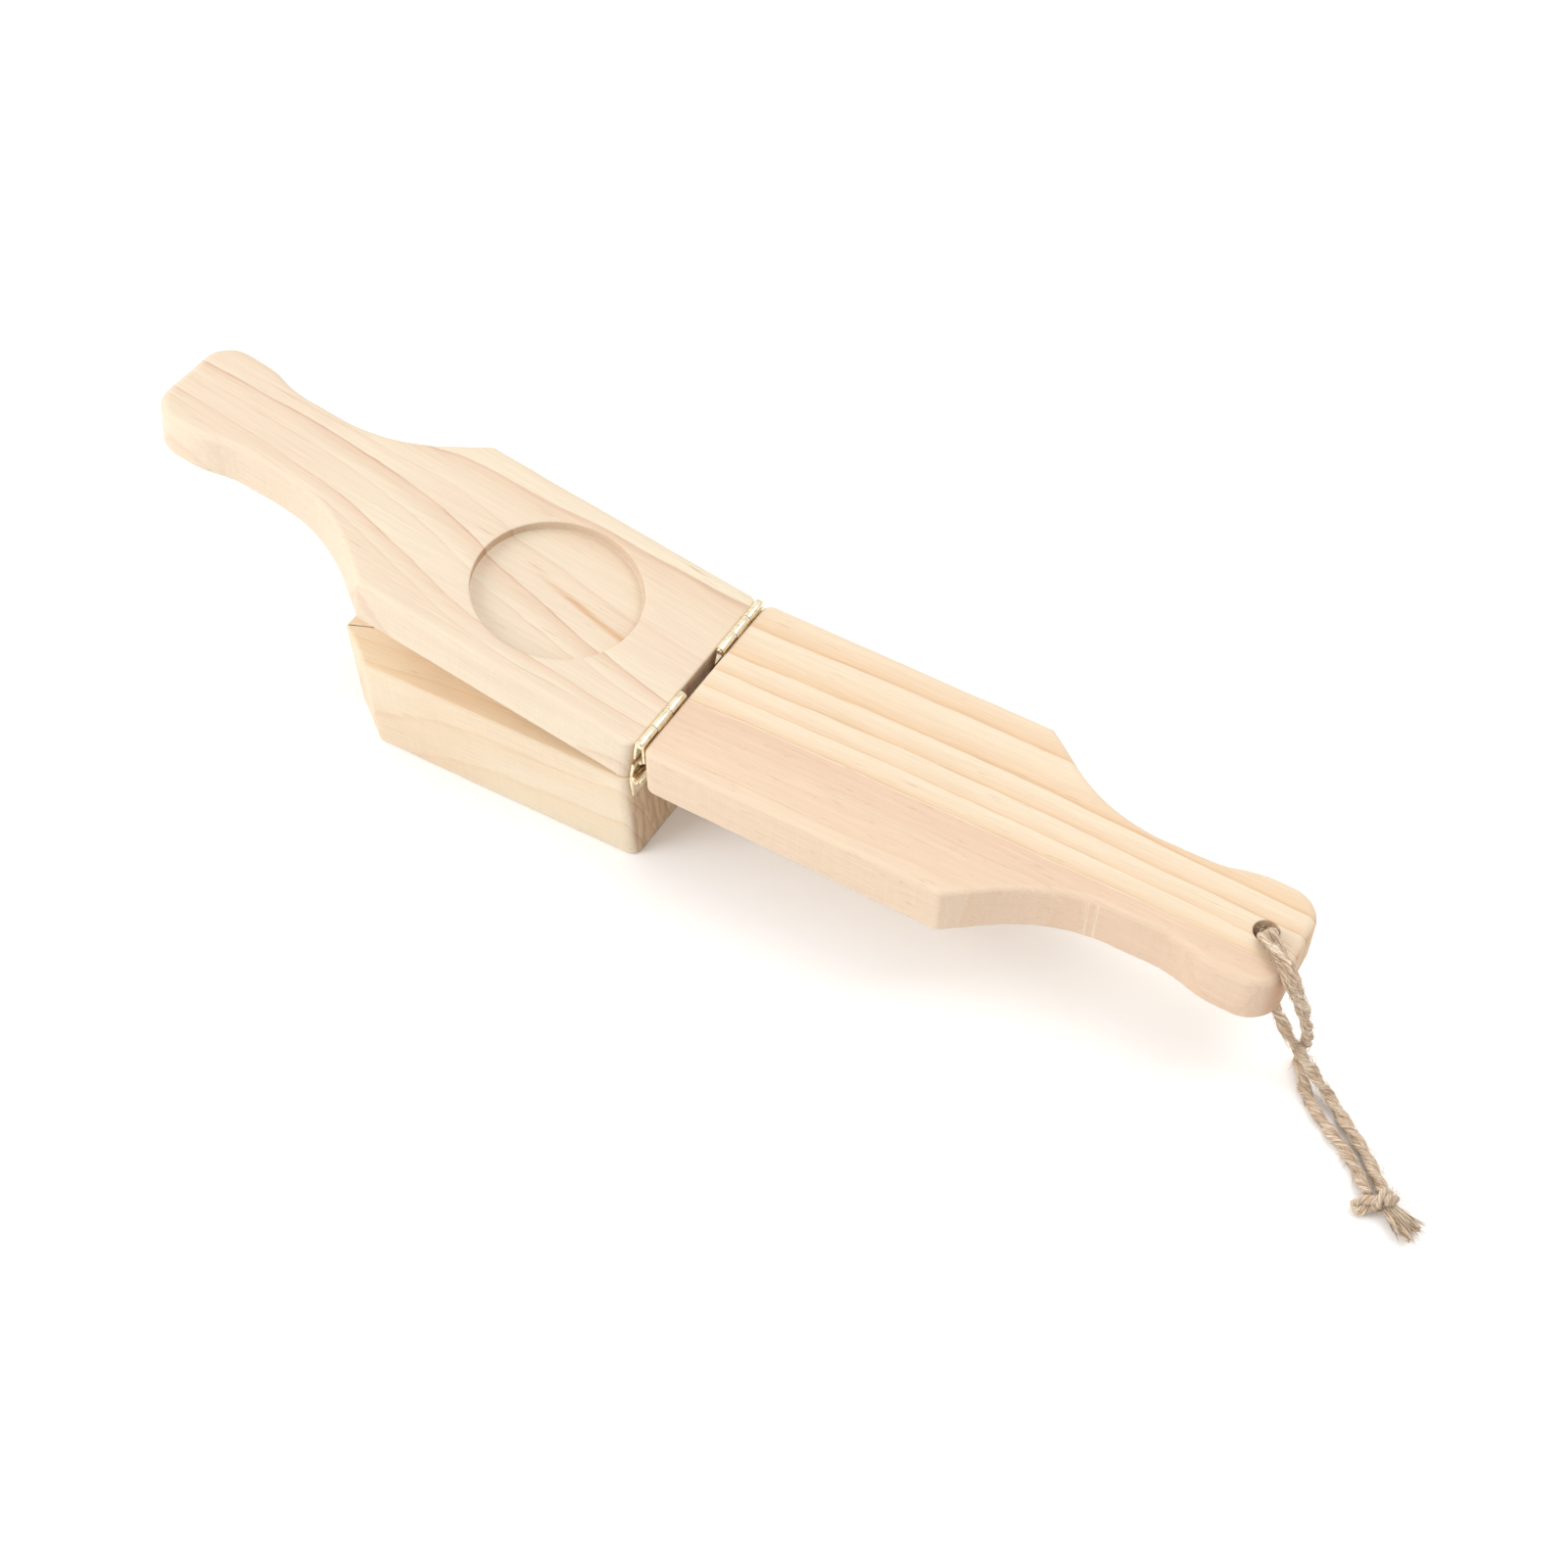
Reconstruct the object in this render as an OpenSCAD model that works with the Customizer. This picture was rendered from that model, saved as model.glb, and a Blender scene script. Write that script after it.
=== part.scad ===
// Three-way wooden plantain press: a thick cup block, a mould paddle hinged to it
// and a flat paddle hinged to the mould paddle, with a twine hanging loop.
// +X runs from the block towards the flat paddle, +Z is up. The origin is the
// centre of the block's underside, which is the face that the press stands on.

/* [Boards] */
// Width of the block and of both paddles
board_w = 76; // [70:1:92]
// Thickness of the mould paddle and of the flat paddle
paddle_t = 19; // [17:0.5:23]
// Thickness of the cup block
block_t = 38; // [32:0.5:46]
// Length of each paddle, from its hinged end to its handle tip
paddle_len = 206; // [196:1:248]
// Length of the wide part, from the hinged end to the shoulder
body_len = 106; // [98:1:112]
// Length of the cup block
block_len = 123; // [114:1:130]
// Plan radius of the corners at the hinged end
corner_r = 4; // [1:0.5:8]

/* [Handle] */
// Angle between the shoulder and the long axis
shoulder_angle = 37; // [30:1:50]
// Radius that blends the shoulder into the neck
shoulder_r = 60; // [40:1:64]
// Width of the neck
neck_w = 33; // [27:0.5:38]
// Width of the grip at the tip
grip_w = 40.4; // [38.5:0.1:48]
// Length over which the neck swells into the grip
grip_blend = 23; // [16:1:28]
// Radius of the grip's two end corners
grip_r = 11; // [6:0.5:15]
// Straight side of the grip, between the swell and its end corner
grip_flat = 5; // [2:0.5:8]
// Diameter of the hanging hole
hang_hole_d = 8; // [7:0.5:10]
// Distance from the handle tip to the hanging hole's centre
hang_hole_in = 11.5; // [10:0.5:15]

/* [Recess and plunger] */
// Diameter of the shallow pressing recess
recess_d = 57; // [45:1:62]
// Depth of the pressing recess
recess_depth = 4; // [2:0.5:5]
// Distance from the hinged end to the centre of the recess and plunger
press_u = 54; // [48:0.5:58]
// Diameter of the plunger
plunger_d = 48; // [36:1:50]
// How far the plunger stands out of the mould paddle
plunger_len = 30; // [24:0.5:34]
// Rounding of the plunger's working edge
plunger_edge_r = 6; // [3:0.5:9]
// Diameter of the plunger's glued tenon
tenon_d = 18; // [12:0.5:22]
// Length of the plunger's tenon
tenon_len = 9; // [6:0.5:10]
// Play between the plunger and the cup wall
cup_play = 0.8; // [0.5:0.1:2]
// Rounding of the cup's floor edge
cup_edge_r = 5; // [3:0.5:6]

/* [Pose at rest] */
// Angle between the block's top and the mould paddle, with the plunger in the cup
wedge = 12.2; // [10:0.1:14]
// Angle by which the two paddles stop short of lying flat
vee = 9.7; // [7:0.1:11]

/* [Hinges] */
// Length of each hinge
hinge_len = 25; // [20:0.5:28]
// Distance from the board's side to the hinge
hinge_in = 2; // [1:0.5:4]
// Diameter of the hinge barrel
barrel_d = 3.2; // [3:0.1:3.8]
// Thickness of a hinge leaf
leaf_t = 0.9; // [0.7:0.1:1]
// Length of the middle knuckle and of the gap it sits in
knuckle_len = 8.4; // [7:0.1:9]
// Height of a leaf, from the barrel's axis to its far edge
leaf_h = 8; // [7.5:0.1:8.2]
// Diameter of a hinge pin
pin_d = 1.6; // [1.4:0.1:1.8]
// Distance from the barrel's axis to the screws
screw_drop = 4.8; // [4.4:0.1:5]
// Distance between the two screws of a leaf
screw_pitch = 14; // [11:0.5:16]
// Diameter of a screw's head
screw_head_d = 4; // [3.4:0.1:4.4]
// Diameter of a screw's shank
screw_shank_d = 2.2; // [1.8:0.1:2.6]
// Length of a screw's shank below its leaf
screw_len = 10; // [7:0.5:12]

/* [Twine] */
// Diameter of the twine
twine_d = 3.8; // [3.2:0.1:4]
// Radius of the overhand knot
knot_r = 4.3; // [4:0.1:4.6]

/* [Hidden] */

$fn = 96;

// Clearances
eps = 0.01;              // overlap of a cut with the face it starts from
fit_gap = 0.05;          // radial running and screw clearance
seat_gap = 0.3;          // gap under the plunger at rest
stop_gap = 0.1;          // gap between the fold screws' heads at rest
knuckle_gap = 0.2;       // gap between two knuckles
closed_lift = 0.2;       // height of each hinge axis above the face it folds onto

// Places of the two hinge axes
barrel_r = barrel_d / 2;
hinge_x = block_len / 2;
base_axis_x = hinge_x + barrel_r;
base_axis_z = block_t + closed_lift;
fold_rise = paddle_t + 2 * closed_lift;
hinge_y = board_w / 2 - hinge_in - hinge_len / 2;

// Outline of a paddle, from its hinged end at u = 0 to its tip
half_w = board_w / 2;
neck_half = neck_w / 2;
grip_half = grip_w / 2;
arc_steps = 12;
blend_u = body_len + (shoulder_r
    - (neck_half + shoulder_r - half_w) * cos(shoulder_angle)) / sin(shoulder_angle);
grip_end_u = paddle_len - grip_r;
grip_full_u = grip_end_u - grip_flat;
grip_start_u = grip_full_u - grip_blend;
grip_rise = grip_half - neck_half;
swell_r = (grip_blend * grip_blend + grip_rise * grip_rise) / (4 * grip_rise);
swell_angle = asin(grip_blend / (2 * swell_r));

// Sweep of the plunger about the base hinge, which sets the cup
plunger_r = plunger_d / 2;
near_reach = press_u - plunger_r + barrel_r;
far_reach = press_u + plunger_r - plunger_edge_r + barrel_r;
edge_drop = plunger_len - plunger_edge_r - closed_lift;
cup_near = near_reach / cos(wedge) - cup_play;
cup_far = norm([far_reach, edge_drop]) + plunger_edge_r + cup_play;
cup_r = (cup_far - cup_near) / 2;
cup_x = base_axis_x - (cup_far + cup_near) / 2;
edge_low = edge_drop * cos(wedge) - (near_reach + plunger_edge_r) * sin(wedge) + plunger_edge_r;
cup_depth = edge_low - closed_lift + seat_gap;

// Screws: the raised heads of the fold hinges meet and stop the paddles
head_r = screw_head_d / 2;
shank_r = screw_shank_d / 2;
head_rise = barrel_r - leaf_t + screw_drop * tan(vee / 2) - stop_gap / 2;
head_sink = min(head_r - shank_r, leaf_t - 0.1);
dome_r = (head_r * head_r + head_rise * head_rise) / (2 * head_rise);
dome_angle = asin(head_r / dome_r);
point_len = 3;           // tapered end of a screw
slot_w = 0.6;
slot_depth = 0.5;
leaf_top = 0.3;          // a leaf's plate starts this far below the barrel's axis

// Routes of the twine's two legs, from the middle of the hanging hole to the knot
upper_route = [[262.8, 0, 39], [262.8, 0, 42], [263.4, -0.6, 46.8], [264.8, -3, 50.7],
    [267.9, -6.1, 51.1], [271.4, -9.3, 50.9], [274.8, -12.1, 50.3], [277.1, -12.5, 46.4],
    [278.9, -11.8, 41], [281.2, -10.7, 34], [282.8, -9.8, 27], [283.4, -8.2, 20],
    [283, -5.3, 13], [282.2, -3.5, 7], [282.3, -5.5, 2.8], [284.5, -9.7, 2],
    [287.5, -13.9, 2], [292.4, -18.9, 2], [299.6, -24.1, 2], [307.8, -29.4, 2],
    [313.6, -34.9, 2.2], [318.3, -40.4, 3.4]];
lower_route = [[262.8, 0, 38.8], [262.8, 0, 34], [263.4, -0.4, 29], [266.3, -1.3, 25.4],
    [269.9, -3.9, 23], [274, -6.7, 20.4], [277.9, -9.1, 17.4], [281.9, -10, 14],
    [285.7, -10.9, 10.4], [290.1, -12.1, 6.4], [294.4, -13.3, 3.4], [298.6, -16.1, 2],
    [304.3, -20.5, 2], [310.8, -25.5, 2], [316.6, -31.2, 2.2], [321.6, -36.9, 3.4]];
knot_at = [322.5, -40.2, 4.4];
knot_half = [2.2, 1.4, 0];
tails_end = [335.8, -46.6, 3.9];
tails_r = [2.7, 3.7];
twine_sides = 8;
route_across = [0.64, 0.77, 0];

WOOD = [0.95, 0.86, 0.72];
HARDWOOD = [0.88, 0.76, 0.6];
BRASS = [0.86, 0.68, 0.3];
JUTE = [0.68, 0.57, 0.43];

// ---------------------------------------------------------------- frames

// Block: u runs from the hinged end towards -X, height from the underside
module block_frame() {
    translate([hinge_x, 0, 0]) mirror([1, 0, 0]) children();
}

// Mould paddle: the base hinge's axis is the origin, z is across the boards
module mould_frame() {
    translate([base_axis_x, 0, base_axis_z]) rotate([0, wedge, 0]) children();
}

// Flat paddle: the fold hinge's axis is the origin
module flat_frame() {
    mould_frame() translate([0, 0, fold_rise]) rotate([0, -vee, 0]) children();
}

// ---------------------------------------------------------------- boards

// Points on an arc about [cu, cv], from angle a0 to angle a1
function arc(cu, cv, r, a0, a1) =
    [for (i = [0:arc_steps]) let (a = a0 + (a1 - a0) * i / arc_steps)
        [cu + r * cos(a), cv + r * sin(a)]];

function half_outline() = concat(
    arc(corner_r, half_w - corner_r, corner_r, 180, 90),
    [[body_len, half_w]],
    arc(blend_u, neck_half + shoulder_r, shoulder_r, -90 - shoulder_angle, -90),
    arc(grip_start_u, neck_half + swell_r, swell_r, -90, -90 + swell_angle),
    arc(grip_full_u, grip_half - swell_r, swell_r, 90 + swell_angle, 90),
    arc(grip_end_u, grip_half - grip_r, grip_r, 90, 0));

module paddle_outline() {
    upper = half_outline();
    lower = [for (i = [len(upper) - 1:-1:0]) [upper[i].x, -upper[i].y]];
    polygon(concat(upper, lower));
}

module block_outline() {
    intersection() {
        paddle_outline();
        translate([0, -half_w]) square([block_len, board_w]);
    }
}

// Cup for the plunger, its floor edge rounded, about its own axis
module cup_space() {
    rotate_extrude() union() {
        square([cup_r - cup_edge_r, cup_depth + 1]);
        translate([0, cup_edge_r]) square([cup_r, cup_depth + 1 - cup_edge_r]);
        translate([cup_r - cup_edge_r, cup_edge_r]) intersection() {
            circle(cup_edge_r);
            translate([0, -cup_edge_r]) square(cup_edge_r);
        }
    }
}

module cup_block() {
    color(WOOD) difference() {
        block_frame() linear_extrude(block_t) block_outline();
        translate([cup_x, 0, block_t - cup_depth]) cup_space();
        translate([base_axis_x, 0, base_axis_z]) leaf_pair() pilot_holes();
    }
}

// Board of a paddle: its hinged end is a barrel's radius from the hinge axis
module paddle_board() {
    translate([barrel_r, 0, 0]) linear_extrude(paddle_t) paddle_outline();
}

module mould_paddle() {
    press_x = -barrel_r - press_u;
    color(WOOD) mould_frame() difference() {
        translate([0, 0, closed_lift]) mirror([1, 0, 0]) paddle_board();
        translate([press_x, 0, closed_lift + paddle_t - recess_depth])
            cylinder(h = recess_depth + 1, d = recess_d);
        translate([press_x, 0, closed_lift - 1])
            cylinder(h = tenon_len + 1.5, r = tenon_d / 2 + fit_gap);
        mirror([0, 0, 1]) leaf_pair() pilot_holes();
        translate([0, 0, fold_rise]) leaf_pair() pilot_holes();
    }
}

module flat_paddle() {
    color(WOOD) flat_frame() difference() {
        translate([0, 0, -closed_lift - paddle_t]) paddle_board();
        translate([barrel_r + paddle_len - hang_hole_in, 0, -closed_lift - paddle_t - 1])
            cylinder(h = paddle_t + 2, d = hang_hole_d);
        mirror([1, 0, 0]) leaf_pair() pilot_holes();
    }
}

// Turned plunger: working end down, tenon up into the mould paddle
module plunger() {
    color(HARDWOOD) mould_frame()
    translate([-barrel_r - press_u, 0, closed_lift]) {
        rotate_extrude() union() {
            translate([0, -plunger_len]) square([plunger_r - plunger_edge_r, plunger_len]);
            translate([0, -plunger_len + plunger_edge_r])
                square([plunger_r, plunger_len - plunger_edge_r]);
            translate([plunger_r - plunger_edge_r, -plunger_len + plunger_edge_r])
            intersection() {
                circle(plunger_edge_r);
                translate([0, -plunger_edge_r]) square(plunger_edge_r);
            }
        }
        translate([0, 0, -eps]) cylinder(h = tenon_len + eps, d = tenon_d);
    }
}

// ---------------------------------------------------------------- hinges

// Puts its children on the front hinge and on the back one
module leaf_pair() {
    for (side = [-1, 1]) translate([0, side * hinge_y, 0]) children();
}

// Solid between two places along the barrel
module barrel_part(y0, y1, r) {
    translate([0, y1, 0]) rotate([90, 0, 0]) cylinder(h = y1 - y0, r = r);
}

// One leaf, screwed to a face on its -X side, hanging down from the barrel's axis.
// The outer leaf has the two end knuckles and the inner leaf has the middle one.
module leaf(outer) {
    half = hinge_len / 2;
    own = outer ? [[-half, -knuckle_len / 2 - knuckle_gap / 2],
                   [knuckle_len / 2 + knuckle_gap / 2, half]]
                : [[-knuckle_len / 2 + knuckle_gap / 2, knuckle_len / 2 - knuckle_gap / 2]];
    other = outer ? [[-knuckle_len / 2 - knuckle_gap / 2, knuckle_len / 2 + knuckle_gap / 2]]
                  : [[-half - 1, -knuckle_len / 2 + knuckle_gap / 2],
                     [knuckle_len / 2 - knuckle_gap / 2, half + 1]];
    color(BRASS) difference() {
        union() {
            translate([-barrel_r, -half, -leaf_h]) cube([leaf_t, hinge_len, leaf_h - leaf_top]);
            for (span = own) barrel_part(span[0], span[1], barrel_r);
        }
        for (span = other) barrel_part(span[0], span[1], barrel_r + knuckle_gap);
        barrel_part(-half - 1, half + 1, pin_d / 2 + fit_gap);
        screw_places() screw_solid(fit_gap);
    }
}

module pin() {
    color(BRASS) barrel_part(-hinge_len / 2, hinge_len / 2, pin_d / 2);
}

// Puts its children at a leaf's screws, with +X out of the screwed face
module screw_places() {
    for (side = [-1, 1])
        translate([-barrel_r, side * screw_pitch / 2, -screw_drop]) children();
}

// One screw along X, grown by a clearance; its leaf's outer face is at x = leaf_t
module screw_solid(grow) {
    cone_low = leaf_t - head_sink;
    dome = [for (i = [0:arc_steps]) let (a = dome_angle * (1 - i / arc_steps))
        [(dome_r + grow) * sin(a), leaf_t + head_rise - dome_r + (dome_r + grow) * cos(a)]];
    rotate([0, 90, 0]) rotate_extrude() polygon(concat(
        [[0, -screw_len - grow], [shank_r + grow, -screw_len + point_len],
         [shank_r + grow, cone_low], [head_r + grow, leaf_t]], dome));
}

module screws() {
    color(BRASS) screw_places() difference() {
        screw_solid(0);
        translate([leaf_t + head_rise - slot_depth, -head_r - 1, -slot_w / 2])
            cube([slot_depth + 1, screw_head_d + 2, slot_w]);
    }
}

// Holes in the wood for the shanks of one leaf's screws
module pilot_holes() {
    screw_places() rotate([0, -90, 0]) translate([0, 0, -eps])
        cylinder(h = screw_len + 2 * fit_gap, r = shank_r + fit_gap);
}

// Places of the four leaves of one side: -1 is the front, 1 is the back
module at_fold_mould(side) {
    mould_frame() translate([0, side * hinge_y, fold_rise]) children();
}

module at_fold_flat(side) {
    flat_frame() translate([0, side * hinge_y, 0]) mirror([1, 0, 0]) children();
}

module at_base_block(side) {
    translate([base_axis_x, side * hinge_y, base_axis_z]) children();
}

module at_base_mould(side) {
    mould_frame() translate([0, side * hinge_y, 0]) mirror([0, 0, 1]) children();
}

// ---------------------------------------------------------------- twine

function along(route, i) =
    let (d = route[min(i + 1, len(route) - 1)] - route[max(i - 1, 0)]) d / norm(d);

function ring(route, i) =
    let (t = along(route, i), b = cross(t, route_across), up = b / norm(b), side = cross(up, t))
    [for (k = [0:twine_sides - 1]) let (a = 360 * k / twine_sides)
        route[i] + twine_d / 2 * (cos(a) * side + sin(a) * up)];

// Tube swept along a route, one ring of points at each place on it
module twine_leg(route) {
    n = len(route);
    points = [for (i = [0:n - 1]) each ring(route, i)];
    walls = [for (i = [0:n - 2], k = [0:twine_sides - 1])
        let (a = i * twine_sides + k, b = i * twine_sides + (k + 1) % twine_sides)
        each [[a, b, b + twine_sides], [a, b + twine_sides, a + twine_sides]]];
    first = [[for (k = [twine_sides - 1:-1:0]) k]];
    last = [[for (k = [0:twine_sides - 1]) (n - 1) * twine_sides + k]];
    color(JUTE) polyhedron(points, concat(first, walls, last));
}

module twine_knot() {
    color(JUTE) hull() {
        translate(knot_at - knot_half) sphere(knot_r, $fn = 24);
        translate(knot_at + knot_half) sphere(knot_r, $fn = 24);
    }
}

// The two frayed tails, as one short spreading tuft out of the knot
module twine_tails() {
    run = tails_end - knot_at;
    color(JUTE) translate(knot_at)
    rotate([0, acos(run.z / norm(run)), atan2(run.y, run.x)])
        cylinder(h = norm(run), r1 = tails_r[0], r2 = tails_r[1]);
}

// ---------------------------------------------------------------- nodes

cup_block();
mould_paddle();
flat_paddle();
plunger();
at_fold_mould(-1) leaf(true);  // fold_front_mould_leaf
at_fold_flat(-1) leaf(false);  // fold_front_flat_leaf
at_fold_mould(-1) pin();  // fold_front_pin
at_fold_mould(1) leaf(true);  // fold_back_mould_leaf
at_fold_flat(1) leaf(false);  // fold_back_flat_leaf
at_fold_mould(1) pin();  // fold_back_pin
at_base_block(-1) leaf(true);  // base_front_block_leaf
at_base_mould(-1) leaf(false);  // base_front_mould_leaf
at_base_block(-1) pin();  // base_front_pin
at_base_block(1) leaf(true);  // base_back_block_leaf
at_base_mould(1) leaf(false);  // base_back_mould_leaf
at_base_block(1) pin();  // base_back_pin
at_fold_mould(-1) screws();  // fold_front_mould_screws
at_fold_flat(-1) screws();  // fold_front_flat_screws
at_fold_mould(1) screws();  // fold_back_mould_screws
at_fold_flat(1) screws();  // fold_back_flat_screws
at_base_block(-1) screws();  // base_front_block_screws
at_base_mould(-1) screws();  // base_front_mould_screws
at_base_block(1) screws();  // base_back_block_screws
at_base_mould(1) screws();  // base_back_mould_screws
twine_leg(upper_route);  // twine_upper
twine_leg(lower_route);  // twine_lower
twine_knot();
twine_tails();
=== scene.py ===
"""Looks of a three-way wooden plantain press: pine boards, a turned plunger, brass hinges and a twine loop.

Lengths are in millimetres until a mesh is made. A board's own place is (u, v, w): u from its hinged end,
v across it and w up from its underside.
"""

import math

import bmesh
import bpy
import numpy as np
from mathutils import Matrix


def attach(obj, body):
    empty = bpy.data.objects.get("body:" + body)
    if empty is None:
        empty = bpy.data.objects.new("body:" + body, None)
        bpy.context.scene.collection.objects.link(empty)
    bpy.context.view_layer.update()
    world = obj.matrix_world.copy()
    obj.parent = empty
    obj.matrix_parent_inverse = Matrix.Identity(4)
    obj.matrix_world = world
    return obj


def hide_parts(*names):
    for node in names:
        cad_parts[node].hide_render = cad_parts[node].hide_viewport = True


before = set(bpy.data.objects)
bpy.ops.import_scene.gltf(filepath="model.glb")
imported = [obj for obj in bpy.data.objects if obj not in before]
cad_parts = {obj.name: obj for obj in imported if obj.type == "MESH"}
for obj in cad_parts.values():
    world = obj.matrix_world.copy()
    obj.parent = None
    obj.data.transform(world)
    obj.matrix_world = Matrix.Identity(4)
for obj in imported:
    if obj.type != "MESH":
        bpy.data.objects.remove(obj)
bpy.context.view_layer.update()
MM = 0.001
TAU = 2 * math.pi

# Sizes, as in the part's source
BOARD_W, PADDLE_T, BLOCK_T = 76.0, 19.0, 38.0
PADDLE_LEN, BODY_LEN, BLOCK_LEN, CORNER_R = 206.0, 106.0, 123.0, 4.0
SHOULDER_DEG, SHOULDER_R, NECK_HALF, GRIP_HALF = 37, 60.0, 16.5, 20.2
SHOULDER_ANGLE = math.radians(SHOULDER_DEG)
GRIP_BLEND, GRIP_R, GRIP_FLAT = 23.0, 11.0, 5.0
HOLE_D, HOLE_IN = 8.0, 11.5
RECESS_R, RECESS_DEPTH, PRESS_U = 28.5, 4.0, 54.0
PLUNGER_R, PLUNGER_LEN, PLUNGER_EDGE = 24.0, 30.0, 6.0
CUP_R, CUP_DEPTH, CUP_EDGE, CUP_X = 26.31, 21.42, 5.0, 5.26
WEDGE, VEE = math.radians(12.2), math.radians(9.7)
BARREL_R, CLOSED_LIFT, PIN_R = 1.6, 0.2, 0.8
HINGE_LEN, HINGE_Y = 25.0, 23.5
HALF_W, HINGE_X = BOARD_W / 2, BLOCK_LEN / 2
BASE_AXIS = np.array([HINGE_X + BARREL_R, 0.0, BLOCK_T + CLOSED_LIFT])
FOLD_RISE = PADDLE_T + 2 * CLOSED_LIFT
TWINE_D = 3.8

UPPER_ROUTE = np.array([
    [262.8, 0, 39], [262.8, 0, 42], [263.4, -0.6, 46.8], [264.8, -3, 50.7], [267.9, -6.1, 51.1],
    [271.4, -9.3, 50.9], [274.8, -12.1, 50.3], [277.1, -12.5, 46.4], [278.9, -11.8, 41],
    [281.2, -10.7, 34], [282.8, -9.8, 27], [283.4, -8.2, 20], [283, -5.3, 13], [282.2, -3.5, 7],
    [282.3, -5.5, 2.8], [284.5, -9.7, 2], [287.5, -13.9, 2], [292.4, -18.9, 2], [299.6, -24.1, 2],
    [307.8, -29.4, 2], [313.6, -34.9, 2.2], [318.3, -40.4, 3.4]])
LOWER_ROUTE = np.array([
    [262.8, 0, 38.8], [262.8, 0, 34], [263.4, -0.4, 29], [266.3, -1.3, 25.4], [269.9, -3.9, 23],
    [274, -6.7, 20.4], [277.9, -9.1, 17.4], [281.9, -10, 14], [285.7, -10.9, 10.4],
    [290.1, -12.1, 6.4], [294.4, -13.3, 3.4], [298.6, -16.1, 2], [304.3, -20.5, 2],
    [310.8, -25.5, 2], [316.6, -31.2, 2.2], [321.6, -36.9, 3.4]])
KNOT_AT = np.array([322.5, -40.2, 4.4])
TAILS_END = np.array([335.8, -46.6, 3.9])

# ------------------------------------------------------------------ camera, lights, floor

camera_data = bpy.data.cameras.new("press_camera")
camera_data.sensor_width = 36.0
camera_data.lens = 53.76
camera_data.clip_start, camera_data.clip_end = 0.05, 50.0
camera = bpy.data.objects.new("press_camera", camera_data)
bpy.context.scene.collection.objects.link(camera)
LOOK = np.array([-0.35907, 0.54399, -0.75838])
ROLL = math.radians(-3.076)
CAMERA_PLACE = np.array([0.37246, -0.41784, 0.60183])


def camera_matrix(place, look, roll):
    """The camera's frame: it looks along look, and its right-hand axis is the level one turned by roll about
    that direction."""
    look = look / np.linalg.norm(look)
    level = np.cross(look, [0.0, 0.0, 1.0])
    level /= np.linalg.norm(level)
    up = np.cross(level, look)
    right = math.cos(roll) * level + math.sin(roll) * up
    up = np.cross(right, look)
    rows = np.eye(4)
    rows[:3, 0], rows[:3, 1], rows[:3, 2], rows[:3, 3] = right, up, -look, place
    return Matrix(rows.tolist())


camera.matrix_world = camera_matrix(CAMERA_PLACE, LOOK, ROLL)
bpy.context.scene.camera = camera
bpy.context.scene.view_settings.view_transform = "Standard"

world = bpy.data.worlds.new("studio")
bpy.context.scene.world = world
world.use_nodes = True
sky = world.node_tree
sky.nodes["Background"].inputs["Color"].default_value = (1.0, 0.987, 0.975, 1)
heading = sky.nodes.new("ShaderNodeSeparateXYZ")
sky.links.new(sky.nodes.new("ShaderNodeTexCoord").outputs["Generated"], heading.inputs[0])
falloff = sky.nodes.new("ShaderNodeMapRange")
SKY_LEFT, SKY_RIGHT = 1.16, 0.74
for socket, value in enumerate((-1.0, 1.0, SKY_LEFT, SKY_RIGHT), 1):
    falloff.inputs[socket].default_value = value
sky.links.new(heading.outputs["X"], falloff.inputs[0])
sky.links.new(falloff.outputs[0], sky.nodes["Background"].inputs["Strength"])


def studio_light(name, place, target, size, power, colour):
    """A square soft light at place that faces target, both in metres; size in metres, power in watts."""
    data = bpy.data.lights.new(name, "AREA")
    data.shape, data.size, data.energy, data.color = "SQUARE", size, power, colour
    light = bpy.data.objects.new(name, data)
    light.matrix_world = camera_matrix(np.array(place), np.array(target) - np.array(place), 0.0)
    bpy.context.scene.collection.objects.link(light)


studio_light("overhead_softbox", (0.6, 0.45, 1.15), (0.06, 0, 0.05), 0.9, 6.9, (1.0, 0.985, 0.96))
studio_light("front_softbox", (-0.6, -0.8, 0.75), (0.0, 0, 0.03), 0.7, 7.4, (1.0, 0.985, 0.97))

# ------------------------------------------------------------------ shapes


def smooth(x, low, high):
    """0 below low, 1 above high, and 3t^2 - 2t^3 between them."""
    t = np.clip((x - low) / (high - low), 0.0, 1.0)
    return t * t * (3 - 2 * t)


def arc(cu, cv, r, start, end, count):
    """Points at radius r about (cu, cv), the angle going evenly from start to end, in degrees: a stretch of
    an outline, or (radius, w) points of a turned profile."""
    a = np.radians(np.linspace(start, end, count))
    return np.stack([cu + r * np.cos(a), cv + r * np.sin(a)], -1)


def line(p, q, step):
    """Evenly spaced points from p to q, about step apart."""
    t = np.linspace(0, 1, max(2, int(np.hypot(*np.subtract(q, p)) / step) + 1))[:, None]
    return np.asarray(p, float) * (1 - t) + np.asarray(q, float) * t


def joined(parts):
    """Polylines put end to end, without the points that repeat."""
    way = np.concatenate(parts)
    keep = np.concatenate([[True], np.linalg.norm(np.diff(way, axis=0), axis=1) > 0.02])
    return way[keep]


STEP = 1.5
SHOULDER_CORNER = 3.0
CAP_STEPS = 9
WIDEST_EDGE = 2.9


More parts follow.
